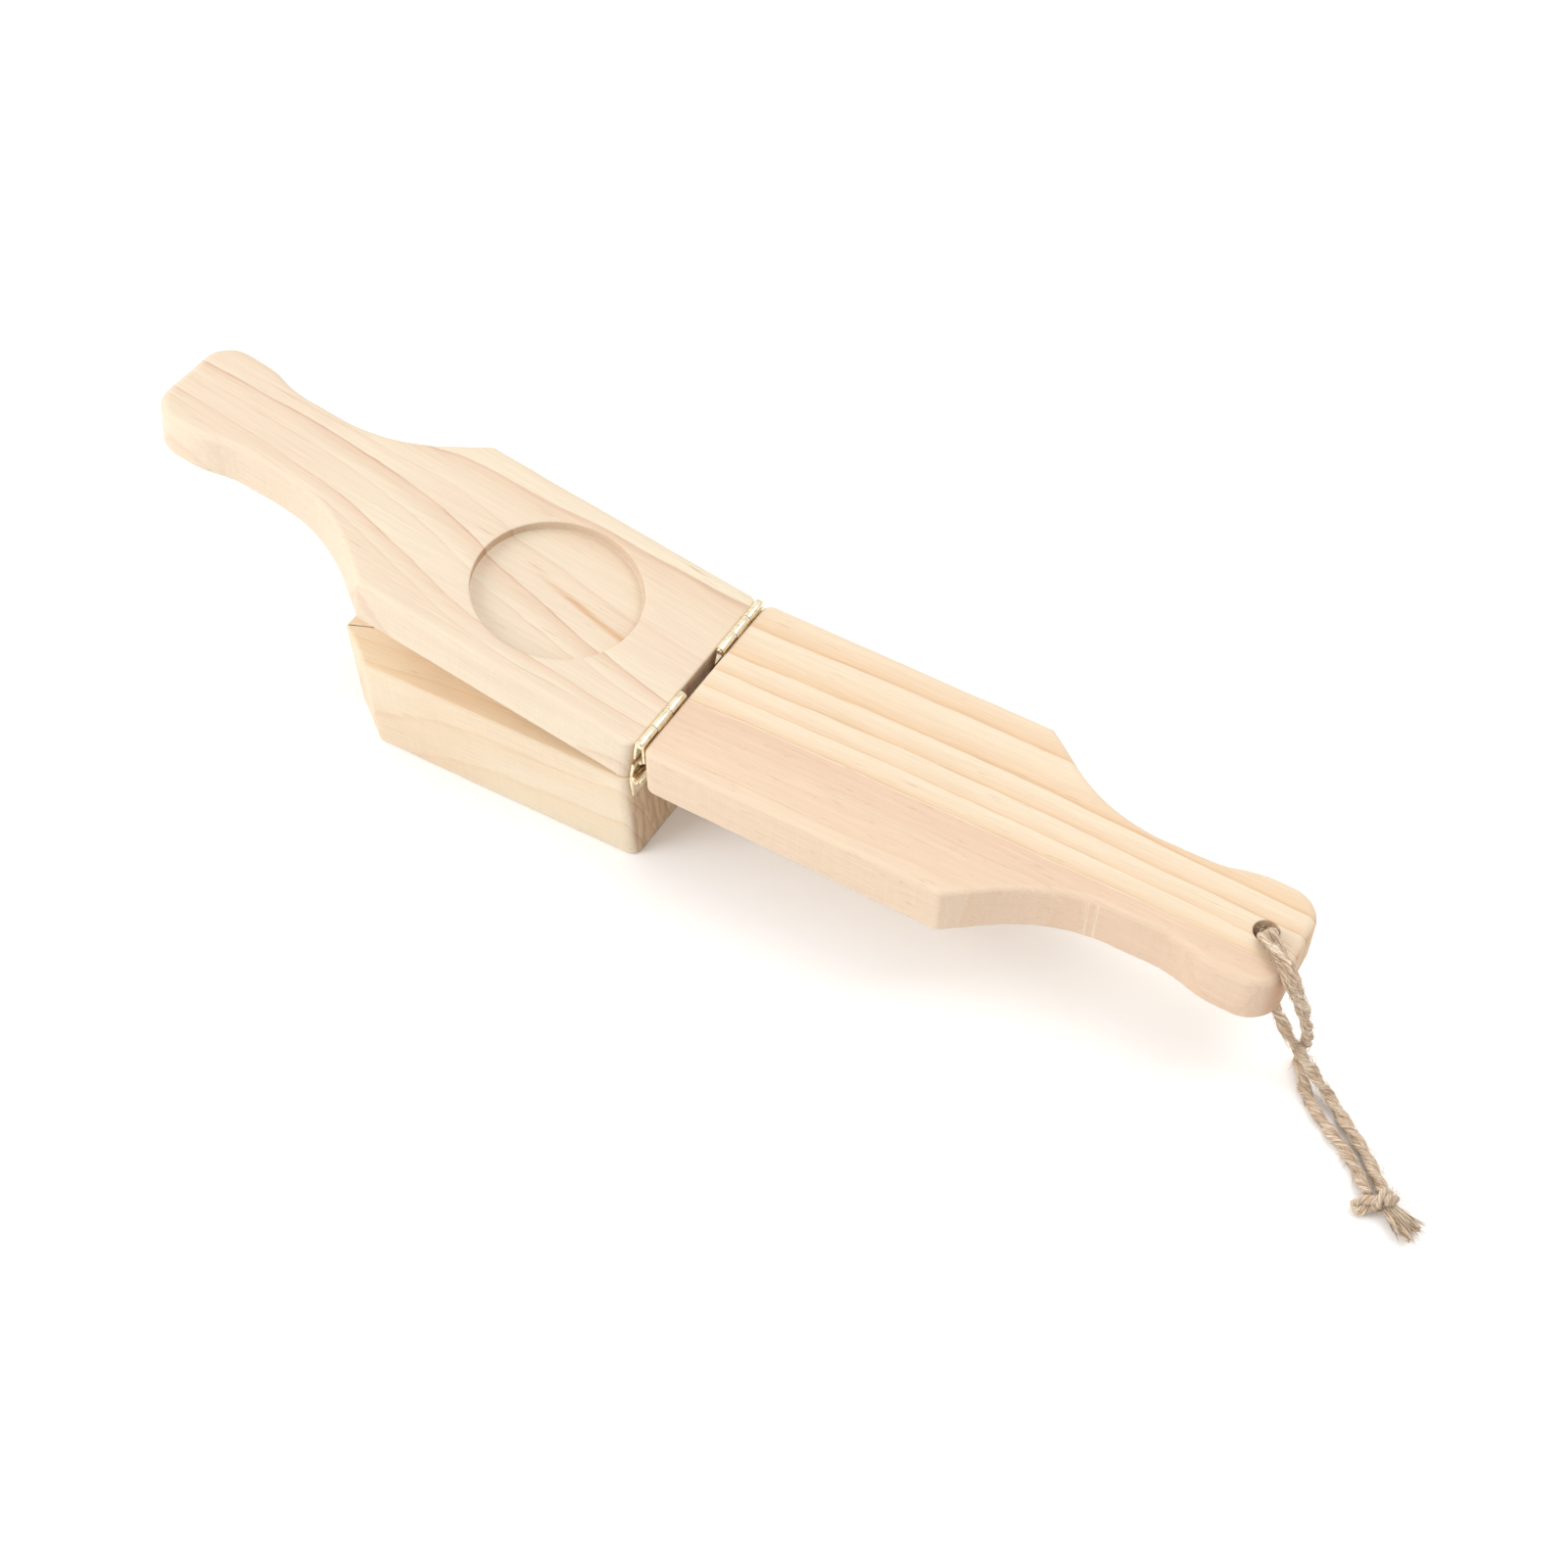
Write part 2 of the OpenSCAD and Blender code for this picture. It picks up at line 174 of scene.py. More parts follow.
def body_side():
    """Hinged end, its rounded corner and the straight side, up to the rounded shoulder."""
    back = SHOULDER_CORNER * math.tan(SHOULDER_ANGLE / 2)
    slope = 90 - SHOULDER_DEG
    return [line((0, 0), (0, HALF_W - CORNER_R), STEP),
            arc(CORNER_R, HALF_W - CORNER_R, CORNER_R, 180, 90, 12),
            line((CORNER_R, HALF_W), (BODY_LEN - back, HALF_W), STEP),
            arc(BODY_LEN - back, HALF_W - SHOULDER_CORNER, SHOULDER_CORNER, 90, slope, 8)]


def paddle_half():
    """Half a paddle's outline: body, sloping shoulder, hollow neck, swelling grip and rounded tip."""
    drop = (NECK_HALF + SHOULDER_R - HALF_W) * math.cos(SHOULDER_ANGLE)
    blend_u = BODY_LEN + (SHOULDER_R - drop) / math.sin(SHOULDER_ANGLE)
    full_u = PADDLE_LEN - GRIP_R - GRIP_FLAT
    start_u = full_u - GRIP_BLEND
    rise = GRIP_HALF - NECK_HALF
    swell_r = (GRIP_BLEND**2 + rise**2) / (4 * rise)
    swell = math.degrees(math.asin(GRIP_BLEND / (2 * swell_r)))
    hollow = arc(blend_u, NECK_HALF + SHOULDER_R, SHOULDER_R, -90 - SHOULDER_DEG, -90, 28)
    parts = body_side()
    return joined(parts + [line(parts[-1][-1], hollow[0], STEP), hollow,
                           line(hollow[-1], (start_u, NECK_HALF), STEP),
                           arc(start_u, NECK_HALF + swell_r, swell_r, -90, -90 + swell, 9),
                           arc(full_u, GRIP_HALF - swell_r, swell_r, 90 + swell, 90, 9),
                           line((full_u, GRIP_HALF), (full_u + GRIP_FLAT, GRIP_HALF), STEP),
                           arc(full_u + GRIP_FLAT, GRIP_HALF - GRIP_R, GRIP_R, 90, 0, 18),
                           line((PADDLE_LEN, GRIP_HALF - GRIP_R), (PADDLE_LEN, 0), STEP)])


def block_half():
    """Half the cup block's outline: a paddle's, sawn off square behind the shoulder."""
    whole = paddle_half()
    kept = whole[whole[:, 0] < BLOCK_LEN - 1.0]
    shoulder = whole[whole[:, 0] > BODY_LEN][:40]
    end_v = np.interp(BLOCK_LEN, shoulder[:, 0], shoulder[:, 1])
    return joined([kept, line(kept[-1], (BLOCK_LEN - 0.6, end_v + 0.4), STEP),
                   arc(BLOCK_LEN - 0.7, end_v - 0.4, 0.7, 60, 0, 5),
                   line((BLOCK_LEN, end_v - 1), (BLOCK_LEN, 0), STEP)])


def whole_loop(half):
    """The half outline and its mirror image, as one closed loop, with its outward normals."""
    loop = np.concatenate([half, (half * [1, -1])[-2:0:-1]])
    ahead = np.roll(loop, -1, 0) - np.roll(loop, 1, 0)
    normal = np.stack([-ahead[:, 1], ahead[:, 0]], -1)
    return loop, normal / np.linalg.norm(normal, axis=1, keepdims=True)


def ripple(count, waves, amount, seed):
    """A closed random wave: a sum of cosines of whole-numbered frequency, falling off as 1 / sqrt(k)."""
    rng = np.random.default_rng(seed)
    t = np.arange(count) / count * TAU
    k = np.arange(1, waves + 1)[:, None]
    wave = np.cos(k * t + rng.uniform(0, TAU, (waves, 1))) * rng.uniform(0.4, 1, (waves, 1)) / np.sqrt(k)
    return amount * wave.sum(0) / math.sqrt(math.log(waves) + 1)


def slit(loop, low, high):
    """For each outline point, its partner on the board's centreline, u squeezed into low..high."""
    u = loop[:, 0]
    return np.stack([np.interp(u, [0, u.max()], [low, high]), 0 * u], -1)


def ring_about(loop, centre, radius):
    """For each outline point, the point of a circle at the same angle about centre on the centreline."""
    a = np.arctan2(loop[:, 1], loop[:, 0] - centre)
    return np.stack([centre + radius * np.cos(a), radius * np.sin(a)], -1)


def hole_loop(loop, hole_u, radius, start):
    """A slit along the centreline up to a hole, then round the hole: where u passes start, the angle about
    the hole is stretched so that it runs from 180 degrees to 0."""
    a = np.arctan2(np.abs(loop[:, 1]), loop[:, 0] - hole_u)
    first = a[loop[:, 0] > start].max()
    turned = np.minimum(a / first, 1.0) * math.pi
    side = np.where(loop[:, 1] < 0, -1.0, 1.0)
    round_hole = np.stack([hole_u + radius * np.cos(turned), side * radius * np.sin(turned)], -1)
    along = np.interp(loop[:, 0], [0, start], [20, hole_u - radius])
    return np.where((loop[:, 0] > start)[:, None], round_hole, np.stack([along, 0 * along], -1))


def recess_loop(loop, centre, radius, start, end):
    """Round the recess and then along the centreline to the grip: where u is below start, the angle about
    the recess is stretched to run from 180 degrees to 0; past it, the points go evenly from the recess to
    end."""
    a = np.arctan2(np.abs(loop[:, 1]), loop[:, 0] - centre)
    last = a[loop[:, 0] <= start].min()
    turned = np.clip((a - last) / (math.pi - last), 0, 1) * math.pi
    side = np.where(loop[:, 1] < 0, -1.0, 1.0)
    around = np.stack([centre + radius * np.cos(turned), side * radius * np.sin(turned)], -1)
    along = np.interp(loop[:, 0], [start, loop[:, 0].max()], [centre + radius, end])
    return np.where((loop[:, 0] > start)[:, None], np.stack([along, 0 * along], -1), around)


def edge_radii(loop, seed, side, end=0.9):
    """Rounding of a board's edges: tight and slightly chipped at the hinged end, wider along the sides and
    widest on the handle."""
    u = loop[:, 0]
    r = end + (side - end) * smooth(u, 0.2, 5.0) + (WIDEST_EDGE - side) * smooth(u, 112, 150)
    chips = 0.45 * np.maximum(ripple(len(loop), 120, 1.0, seed + 1) - 0.35, 0) * (1 - smooth(u, 0.5, 4.0))
    return r * (1 + ripple(len(loop), 60, 0.10, seed)) + chips


def board_skin(loop, normal, edge, thick, top_inner, low_inner, wave):
    """Profile carried round the outline. It runs from low_inner over the underside, round a quarter-circle
    edge, up the side, round the upper edge and over the top to top_inner; each point of the profile is
    the outline moved inwards along its normal. The side is pushed in by a small wave."""
    turn = np.linspace(0, math.pi / 2, 7)
    rise = np.linspace(0, 1, 6)[1:-1]
    r = edge[:, None]
    inset = np.concatenate([r + 0.5 + 0 * turn[:1], r * (1 - np.sin(turn)), 0 * rise + 0 * r,
                            r * (1 - np.cos(turn)), r + 0.5 + 0 * turn[:1]], 1)
    height = np.concatenate([0 * r, r * (1 - np.cos(turn)), r + (thick - 2 * r) * rise,
                             thick - r * (1 - np.sin(turn)), thick + 0 * r], 1)
    inset = inset + wave[:, None] * np.sin(np.clip(height / thick, 0, 1) * math.pi)
    flat = loop[:, None] - inset[..., None] * normal[:, None]
    shell = np.concatenate([flat, height[..., None]], -1)
    t = np.linspace(0, 1, CAP_STEPS)[:, None, None]

    def cap(rim, inner, w):
        face = rim[None] * (1 - t) + inner[None] * t
        return np.concatenate([face, np.full(face.shape[:2] + (1,), w)], -1).transpose(1, 0, 2)

    low = cap(flat[:, 0], low_inner, 0.0)[:, ::-1]
    top = cap(flat[:, -1], top_inner, thick)
    return np.concatenate([low[:, :-1], shell, top[:, 1:]], 1)


def bowl(centre, angles, profile, rough=None):
    """A profile of (radius, w) turned about a vertical axis at u = centre, at the angles given. The first
    two rings take the rim's small chips."""
    radius = np.repeat(profile[None, :, 0], len(angles), 0).astype(float)
    if rough is not None:
        radius[:, 1:3] += rough[:, None]
    a = np.asarray(angles)[:, None]
    w = np.broadcast_to(profile[None, :, 1], radius.shape)
    return np.stack([centre + radius * np.cos(a), radius * np.sin(a), w], -1)


def to_block(p):
    """Board place to the row frame for the cup block."""
    return np.stack([HINGE_X - p[..., 0], p[..., 1], p[..., 2]], -1)


def tilted(p, angle):
    """Turned by angle about Y: x' = x cos + z sin, z' = z cos - x sin."""
    x, z = p[..., 0], p[..., 2]
    return np.stack([x * math.cos(angle) + z * math.sin(angle), p[..., 1],
                     z * math.cos(angle) - x * math.sin(angle)], -1)


def to_mould(p):
    """Board place to the row frame for the mould paddle, tilted about the lower hinges."""
    own = np.stack([-BARREL_R - p[..., 0], p[..., 1], CLOSED_LIFT + p[..., 2]], -1)
    return tilted(own, WEDGE) + BASE_AXIS


def to_flat(p):
    """Board place to the row frame for the flat paddle, tilted about the upper hinges and then the lower."""
    own = np.stack([BARREL_R + p[..., 0], p[..., 1], p[..., 2] - CLOSED_LIFT - PADDLE_T], -1)
    return tilted(tilted(own, -VEE) + np.array([0, 0, FOLD_RISE]), WEDGE) + BASE_AXIS


def grid_faces(rows, cols, offset):
    """Quads between neighbouring rows and columns, the last row meeting the first."""
    i = np.arange(rows)[:, None]
    j = np.arange(cols - 1)[None, :]
    nxt = (i + 1) % rows
    quad = np.stack([i * cols + j, nxt * cols + j, nxt * cols + j + 1, i * cols + j + 1], -1)
    return quad.reshape(-1, 4) + offset


def sewn(mesh, reach, sliver):
    """The mesh with points closer than reach merged, slivers dissolved and faces turned outwards."""
    bm = bmesh.new()
    bm.from_mesh(mesh)
    bmesh.ops.remove_doubles(bm, verts=bm.verts, dist=reach)
    bmesh.ops.dissolve_degenerate(bm, edges=bm.edges, dist=sliver)
    bmesh.ops.recalc_face_normals(bm, faces=bm.faces)
    bm.to_mesh(mesh)
    bm.free()
    return mesh


def make_piece(name, sheets, body, material, marks=None, sharp=40.0, weld=0.004):
    """One closed mesh from grids of points, each rows x columns x 3 in mm, whose rows close up. Points
    closer than weld are merged, and a mark is a value for each point, kept as an attribute."""
    faces, offset = [], 0
    for grid in sheets:
        faces.append(grid_faces(grid.shape[0], grid.shape[1], offset))
        offset += grid.shape[0] * grid.shape[1]
    points = np.concatenate([grid.reshape(-1, 3) for grid in sheets]) * MM
    faces = np.concatenate(faces)
    mesh = bpy.data.meshes.new(name)
    mesh.vertices.add(len(points))
    mesh.vertices.foreach_set("co", points.astype(np.float32).ravel())
    mesh.loops.add(faces.size)
    mesh.loops.foreach_set("vertex_index", faces.astype(np.int32).ravel())
    mesh.polygons.add(len(faces))
    mesh.polygons.foreach_set("loop_start", np.arange(0, faces.size, 4, dtype=np.int32))
    for key, value in (marks or {}).items():
        kind, field = ("FLOAT", "value") if value.ndim == 1 else ("FLOAT_VECTOR", "vector")
        mark = mesh.attributes.new(key, kind, "POINT")
        mark.data.foreach_set(field, value.astype(np.float32).ravel())
    mesh.update(calc_edges=True)
    return finish_piece(name, sewn(mesh, weld * MM, 1e-7), body, material, sharp)


def finish_piece(name, mesh, body, material, sharp):
    """Smooth shading with hard edges past an angle, the material, and the body that the piece rides on."""
    mesh.shade_smooth()
    mesh.set_sharp_from_angle(angle=math.radians(sharp))
    piece = bpy.data.objects.new(name, mesh)
    bpy.context.scene.collection.objects.link(piece)
    mesh.materials.clear()
    mesh.materials.append(material)
    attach(piece, body)
    return piece


# ------------------------------------------------------------------ materials


class Net:
    """Short calls for making shader nodes. An input is a socket to link or a value to set."""

    def __init__(self, tree):
        self.tree = tree
        tree.nodes.clear()

    def add(self, kind, inputs=(), **settings):
        made = self.tree.nodes.new(kind)
        for key, value in settings.items():
            setattr(made, key, value)
        for key, value in dict(inputs).items():
            if isinstance(value, bpy.types.NodeSocket):
                self.tree.links.new(value, made.inputs[key])
            else:
                made.inputs[key].default_value = value
        return made

    def calc(self, operation, *terms, clamp=False):
        return self.add("ShaderNodeMath", dict(enumerate(terms)), operation=operation,
                        use_clamp=clamp).outputs[0]

    def plus(self, a, b, clamp=False):
        return self.calc("ADD", a, b, clamp=clamp)

    def less(self, a, b):
        return self.calc("SUBTRACT", a, b)

    def times(self, a, b):
        return self.calc("MULTIPLY", a, b)

    def vector(self, operation, *terms):
        made = self.add("ShaderNodeVectorMath", dict(enumerate(terms)), operation=operation)
        return made.outputs["Value" if operation in ("DOT_PRODUCT", "LENGTH") else "Vector"]

    def scaled(self, place, factors):
        return self.vector("MULTIPLY", place, factors)

    def step(self, x, low, high):
        """0 at low and 1 at high, with a smooth rise between them."""
        limits = {0: x, 1: low, 2: high, 3: 0.0, 4: 1.0}
        return self.add("ShaderNodeMapRange", limits, interpolation_type="SMOOTHSTEP").outputs[0]

    def noise(self, place, detail=2.0, roughness=0.5, scale=1.0):
        made = self.add("ShaderNodeTexNoise",
                        {"Vector": place, "Scale": scale, "Detail": detail, "Roughness": roughness})
        return made.outputs[0]

    def blend(self, share, a, b, mode="MIX"):
        made = self.add("ShaderNodeMix", {0: share, 6: a, 7: b}, data_type="RGBA", blend_type=mode)
        return made.outputs[2]

    def grey(self, red, blue=None):
        return self.add("ShaderNodeCombineColor",
                        {0: red, 1: red, 2: red if blue is None else blue}).outputs[0]

    def curve(self, x, points, straight=False):
        """A curve through the points, or straight lines between them."""
        made = self.add("ShaderNodeFloatCurve", {1: x})
        own = made.mapping.curves[0]
        made.mapping.use_clip = False
        own.points[0].location, own.points[-1].location = points[0], points[-1]
        for p in points[1:-1]:
            own.points.new(*p)
        if straight:
            for p in own.points:
                p.handle_type = "VECTOR"
        made.mapping.update()
        return made.outputs[0]


def effect(name, inputs, outputs):
    """A new shader node group with named inputs and outputs, and the calls that fill it."""
    group = bpy.data.node_groups.new(name, "ShaderNodeTree")
    for side, sockets in (("INPUT", inputs), ("OUTPUT", outputs)):
        for key, kind in sockets.items():
            group.interface.new_socket(name=key, in_out=side, socket_type="NodeSocket" + kind)
    net = Net(group)
    return group, net, net.add("NodeGroupInput").outputs, net.add("NodeGroupOutput")


def place_effect(net, group, inputs):
    """One use of a group in a material, with its own values."""
    made = net.tree.nodes.new("ShaderNodeGroup")
    made.node_tree = group
    for key, value in inputs.items():
        if isinstance(value, bpy.types.NodeSocket):
            net.tree.links.new(value, made.inputs[key])
        else:
            made.inputs[key].default_value = value
    return made.outputs


def wire(net, out, values):
    """Links a group's results to its outputs."""
    for key, value in values.items():
        net.tree.links.new(value, out.inputs[key])


def colour(red, green, blue, level=0.68):
    """A paint colour from display values 0 to 255, darkened to level, so that the studio light brings it
    back."""
    c = np.array([red, green, blue]) / 255
    lin = np.where(c <= 0.04045, c / 12.92, ((c + 0.055) / 1.055) ** 2.4) * level
    return (*[float(x) for x in lin], 1.0)


def shifted(net, place, seed, stride):
    """A place moved along by the seed, so that each board has its own noise."""
    shift = net.add("ShaderNodeCombineXYZ", {0: net.times(seed, stride), 1: seed, 2: 0.0}).outputs[0]
    return net.vector("ADD", place, shift)


def board_place_effect():
    """Object coordinates to the board's own (u, v, w) in mm: less the hinge axis, turned back about Y, and
    u = sense * x - barrel radius."""
    group, net, given, out = effect("board_place",
                                    {"Axis": "Vector", "Turn": "Float", "Sense": "Float", "Drop": "Float"},
                                    {"Place": "Vector"})
    here = net.add("ShaderNodeTexCoord").outputs["Object"]
    away = net.vector("SUBTRACT", net.scaled(here, (1000.0, 1000.0, 1000.0)), given["Axis"])
    turned = net.add("ShaderNodeVectorRotate", {"Vector": away, "Angle": given["Turn"]},
                     rotation_type="Y_AXIS").outputs[0]
    part = net.add("ShaderNodeSeparateXYZ", {0: turned}).outputs
    u = net.times(part[0], given["Sense"])
    w = net.plus(part[2], given["Drop"])
    wire(net, out, {"Place": net.add("ShaderNodeCombineXYZ", {0: u, 1: part[1], 2: w}).outputs[0]})
    return group


def pine_effect():
    """Growth rings cut by the board. Ring is the ring number: within a ring the wood darkens slowly, ends in
    a sharp line and starts pale again. Fibres and resin flecks are noise drawn out along u."""
    group, net, given, out = effect(
        "pine_figure", {"Place": "Vector", **dict.fromkeys(("Ring", "Strength", "Power", "Seed"), "Float")},
        dict.fromkeys(("Band", "Line", "Fibre", "Fleck", "Blotch"), "Float"))
    place = shifted(net, given["Place"], given["Seed"], 61.0)
    phase = net.calc("FRACT", given["Ring"])
    fall = net.less(1.0, net.step(phase, 0.965, 1.0))
    band = net.times(net.times(net.calc("POWER", phase, given["Power"]), fall), given["Strength"])
    patch = net.noise(net.scaled(place, (0.02, 0.09, 0.09)), 3.0, 0.6)
    edge = net.times(net.times(net.step(phase, 0.86, 0.97), fall), given["Strength"])
    edge = net.times(edge, net.plus(0.35, net.times(net.step(patch, 0.36, 0.6), 0.65)))
    fibre = net.noise(net.scaled(place, (0.045, 1.5, 1.5)), 5.0, 0.68)
    dash = net.noise(net.scaled(place, (0.075, 1.25, 1.25)), 3.0, 0.55)
    fleck = net.times(net.step(dash, 0.63, 0.72), net.step(patch, 0.47, 0.62))
    blotch = net.noise(net.scaled(place, (0.009, 0.03, 0.03)), 2.0, 0.5)
    wire(net, out, {"Band": band, "Line": edge, "Fibre": fibre, "Fleck": fleck, "Blotch": blotch})
    return group


def drift_effect():
    """How far the ring lines wander from their course, in mm: a slow wave and a fine one, both drawn out
    along u."""
    group, net, given, out = effect("ring_drift", {"Place": "Vector", "Amount": "Float", "Seed": "Float"},
                                    {"Drift": "Float"})
    place = shifted(net, given["Place"], given["Seed"], 37.0)
    slow = net.noise(net.scaled(place, (0.011, 0.04, 0.04)), 2.0, 0.5)
    fine = net.noise(net.scaled(place, (0.05, 0.35, 0.35)), 3.0, 0.55)
    drift = net.times(net.less(slow, 0.5), given["Amount"])
    wire(net, out, {"Drift": net.plus(drift, net.times(net.less(fine, 0.5), 1.6))})
    return group


def handling_effect():
    """Slight dents, saw fuzz and sanding that any bare board shows: a height, and a mask of dulled spots."""
    group, net, given, out = effect("bare_wood_wear", {"Place": "Vector"},
                                    {"Height": "Float", "Dull": "Float"})
    sand = net.noise(net.scaled(given["Place"], (0.5, 3.2, 3.2)), 3.0, 0.6)
    dent = net.noise(given["Place"], 2.0, 0.5, scale=0.16)
    wire(net, out, {"Height": net.plus(net.times(sand, 0.35), net.times(dent, 0.8)),
                    "Dull": net.step(dent, 0.58, 0.72)})
    return group


BOARD_PLACE, PINE, DRIFT, BARE_WOOD = board_place_effect(), pine_effect(), drift_effect(), handling_effect()


def new_material(name):
    """A material with an empty node tree, its output and one Principled shader."""
    material = bpy.data.materials.new(name)
    material.use_nodes = True
    net = Net(material.node_tree)
    shader = net.add("ShaderNodeBsdfPrincipled")
    out = net.add("ShaderNodeOutputMaterial")
    material.node_tree.links.new(shader.outputs[0], out.inputs[0])
    return material, net, shader


CURVE_SPAN, UNIT_SPAN, RING_SPAN = 80.0, 32.0, 64.0


def against_u(net, along, points, middle):
    """A value in mm that changes along the board, by a curve through (u, value) points."""
    value = net.curve(along, [(u / PADDLE_LEN, v / CURVE_SPAN + middle) for u, v in points])
    return net.times(net.less(value, middle), CURVE_SPAN)


def ring_count(net, place, part, seed, course, above, below, lines, tilt, drift):
    """The ring number, that ring's strength, and the distance from the chief line in units. course is where
    the chief line runs, v against u; above and below are the widths of one unit on its two sides. lines are
    (units from the course, strength) of each ring's sharp edge, in the order in which they are counted."""
    along = net.calc("DIVIDE", part[0], PADDLE_LEN, clamp=True)
    away = net.less(part[1], against_u(net, along, course, 0.5))
    away = net.plus(away, net.times(net.less(part[2], PADDLE_T), tilt))
    wander = place_effect(net, DRIFT, {"Place": place, "Amount": drift, "Seed": seed})
    away = net.plus(away, wander["Drift"])
    upper = net.calc("DIVIDE", net.calc("MAXIMUM", away, 0.0), against_u(net, along, above, 0.0))
    lower = net.calc("DIVIDE", net.calc("MINIMUM", away, 0.0), against_u(net, along, below, 0.0))
    units = net.plus(upper, lower)
    way = 1.0 if lines[-1][0] > lines[0][0] else -1.0
    marks = [(way * units_off, k) for k, (units_off, strength) in enumerate(lines)]
    marks = [(marks[0][0] - 8.0, -8.0)] + marks + [(marks[-1][0] + 8.0, len(lines) + 7.0)]
    share = net.calc("DIVIDE", net.plus(net.times(units, way), UNIT_SPAN / 2), UNIT_SPAN)
    ring = net.curve(share, [(x / UNIT_SPAN + 0.5, y / RING_SPAN + 0.5) for x, y in marks], True)
    ring = net.times(net.less(ring, 0.5), RING_SPAN)
    share = net.calc("DIVIDE", net.plus(net.calc("FLOOR", ring), UNIT_SPAN / 2 + 0.5), UNIT_SPAN)
    levels = [((k - 0.5) / UNIT_SPAN + 0.5, strength) for k, (units_off, strength) in enumerate(lines)]
    return ring, net.curve(share, [(0.0, 0.5)] + levels + [(1.0, 0.5)], True), units


def face_colour(net, place, part, ring, units, figure, tones, contrast, rosy_from, streak):
    """Ring bands and lines over pale wood, a rosy part or rosy clouds, a resin streak and the fibres."""
    pale, honey, dark, pink, fleck = tones
    base = net.blend(net.times(figure["Band"], 0.95), pale, honey)
    if rosy_from is not None:
        area = net.step(ring, rosy_from, rosy_from + 0.04)
        fade = net.less(1.0, net.times(net.step(ring, rosy_from, rosy_from + 2.4), 0.5))
        rosy = net.blend(net.times(figure["Blotch"], 0.5), pink, pale)
        base = net.blend(net.times(area, fade), base, rosy)
        speck = net.step(net.noise(net.scaled(place, (0.16, 0.62, 0.62)), 3.0, 0.65), 0.62, 0.7)
        base = net.blend(net.times(net.times(area, speck), 0.38), base, dark)
    else:
        base = net.blend(net.times(net.step(figure["Blotch"], 0.45, 0.7), 0.65), base, pink)
    base = net.blend(net.times(figure["Line"], contrast), base, dark)
    if streak is not None:
        near = net.step(net.calc("ABSOLUTE", net.less(units, streak)), 0.05, 0.0)
        in_recess = net.step(part[2], PADDLE_T - 0.5, PADDLE_T - 3.0)
        in_recess = net.times(in_recess, net.step(part[0], 74.0, 44.0))
        base = net.blend(net.times(net.times(near, in_recess), 0.8), base, RESIN)
    grain = net.plus(net.times(net.less(figure["Fibre"], 0.5), 0.34), 1.0)
    base = net.blend(1.0, base, net.grey(grain, net.calc("POWER", grain, 1.25)), "MULTIPLY")
    return net.blend(net.times(figure["Fleck"], 0.42), base, fleck)


def end_colour(net, place, part, facing, along, base, figure, fleck, end_rings, saw_marks_and_painted_light_top):
    """End grain: darker and duller, with the rings cut across, but its darkening is kept mild so that the
    shaded gap between the paddles reads brighter, which is painted light. A sawn block has saw marks on its
    ends, and its upward top is painted lighter and warmer, which is painted light for the shaded wedge under
    the mould paddle."""
    end = net.step(net.calc("ABSOLUTE", net.vector("DOT_PRODUCT", facing, along)), 0.62, 0.97)
    # Painted light in part: end grain is darker than the faces, but this darkening is kept mild so the shaded
    # gap between the paddles reads brighter.
    tan = net.blend(1.0, base, colour(241, 226, 212, 1.0), "MULTIPLY")
    rings = net.plus(figure["Band"], net.times(figure["Line"], 0.5), clamp=True)
    tan = net.blend(net.times(rings, end_rings), tan, fleck)
    if saw_marks_and_painted_light_top:
        saw = net.noise(net.scaled(place, (0.2, 0.42, 0.045)), 3.0, 0.6)
        tan = net.blend(net.times(net.step(saw, 0.47, 0.56), 0.62), tan, fleck)
        # Painted light: the block's upward face, in its top 2 mm, is painted lighter and warmer to stand in
        # for light in the shaded wedge under the mould paddle.
        top = net.step(net.add("ShaderNodeSeparateXYZ", {0: facing}).outputs[2], 0.7, 0.95)
        top = net.times(top, net.step(part[2], BLOCK_T - 2.0, BLOCK_T - 1.0))
        base = net.blend(top, base, net.blend(1.0, base, (1.2, 1.15, 1.08, 1.0), "MULTIPLY"))
    return net.blend(net.times(end, 0.9), base, tan)


def side_colour(net, place, part, facing, upward, base, pale, scuffs):
    """Faint upright saw marks on the side faces, and pale scuffs across the front one. Returns the colour
    and the saw marks as a height."""
    side = net.step(net.calc("ABSOLUTE", net.vector("DOT_PRODUCT", facing, upward)), 0.75, 0.3)
    sawn = net.noise(net.scaled(place, (1.5, 0.9, 0.05)), 3.0, 0.6)
    tone = net.plus(net.times(net.times(net.less(sawn, 0.5), side), 0.10), 1.0)
    base = net.blend(1.0, base, net.grey(tone), "MULTIPLY")
    if scuffs is not None:
        near = net.calc("MINIMUM", *[net.calc("ABSOLUTE", net.less(part[0], u)) for u in scuffs])
        mark = net.times(net.times(net.step(near, 0.7, 0.2), side), net.step(part[1], 0.0, -2.0))
        base = net.blend(net.times(mark, net.step(sawn, 0.3, 0.55)), base, pale)
    return base, net.times(sawn, side)


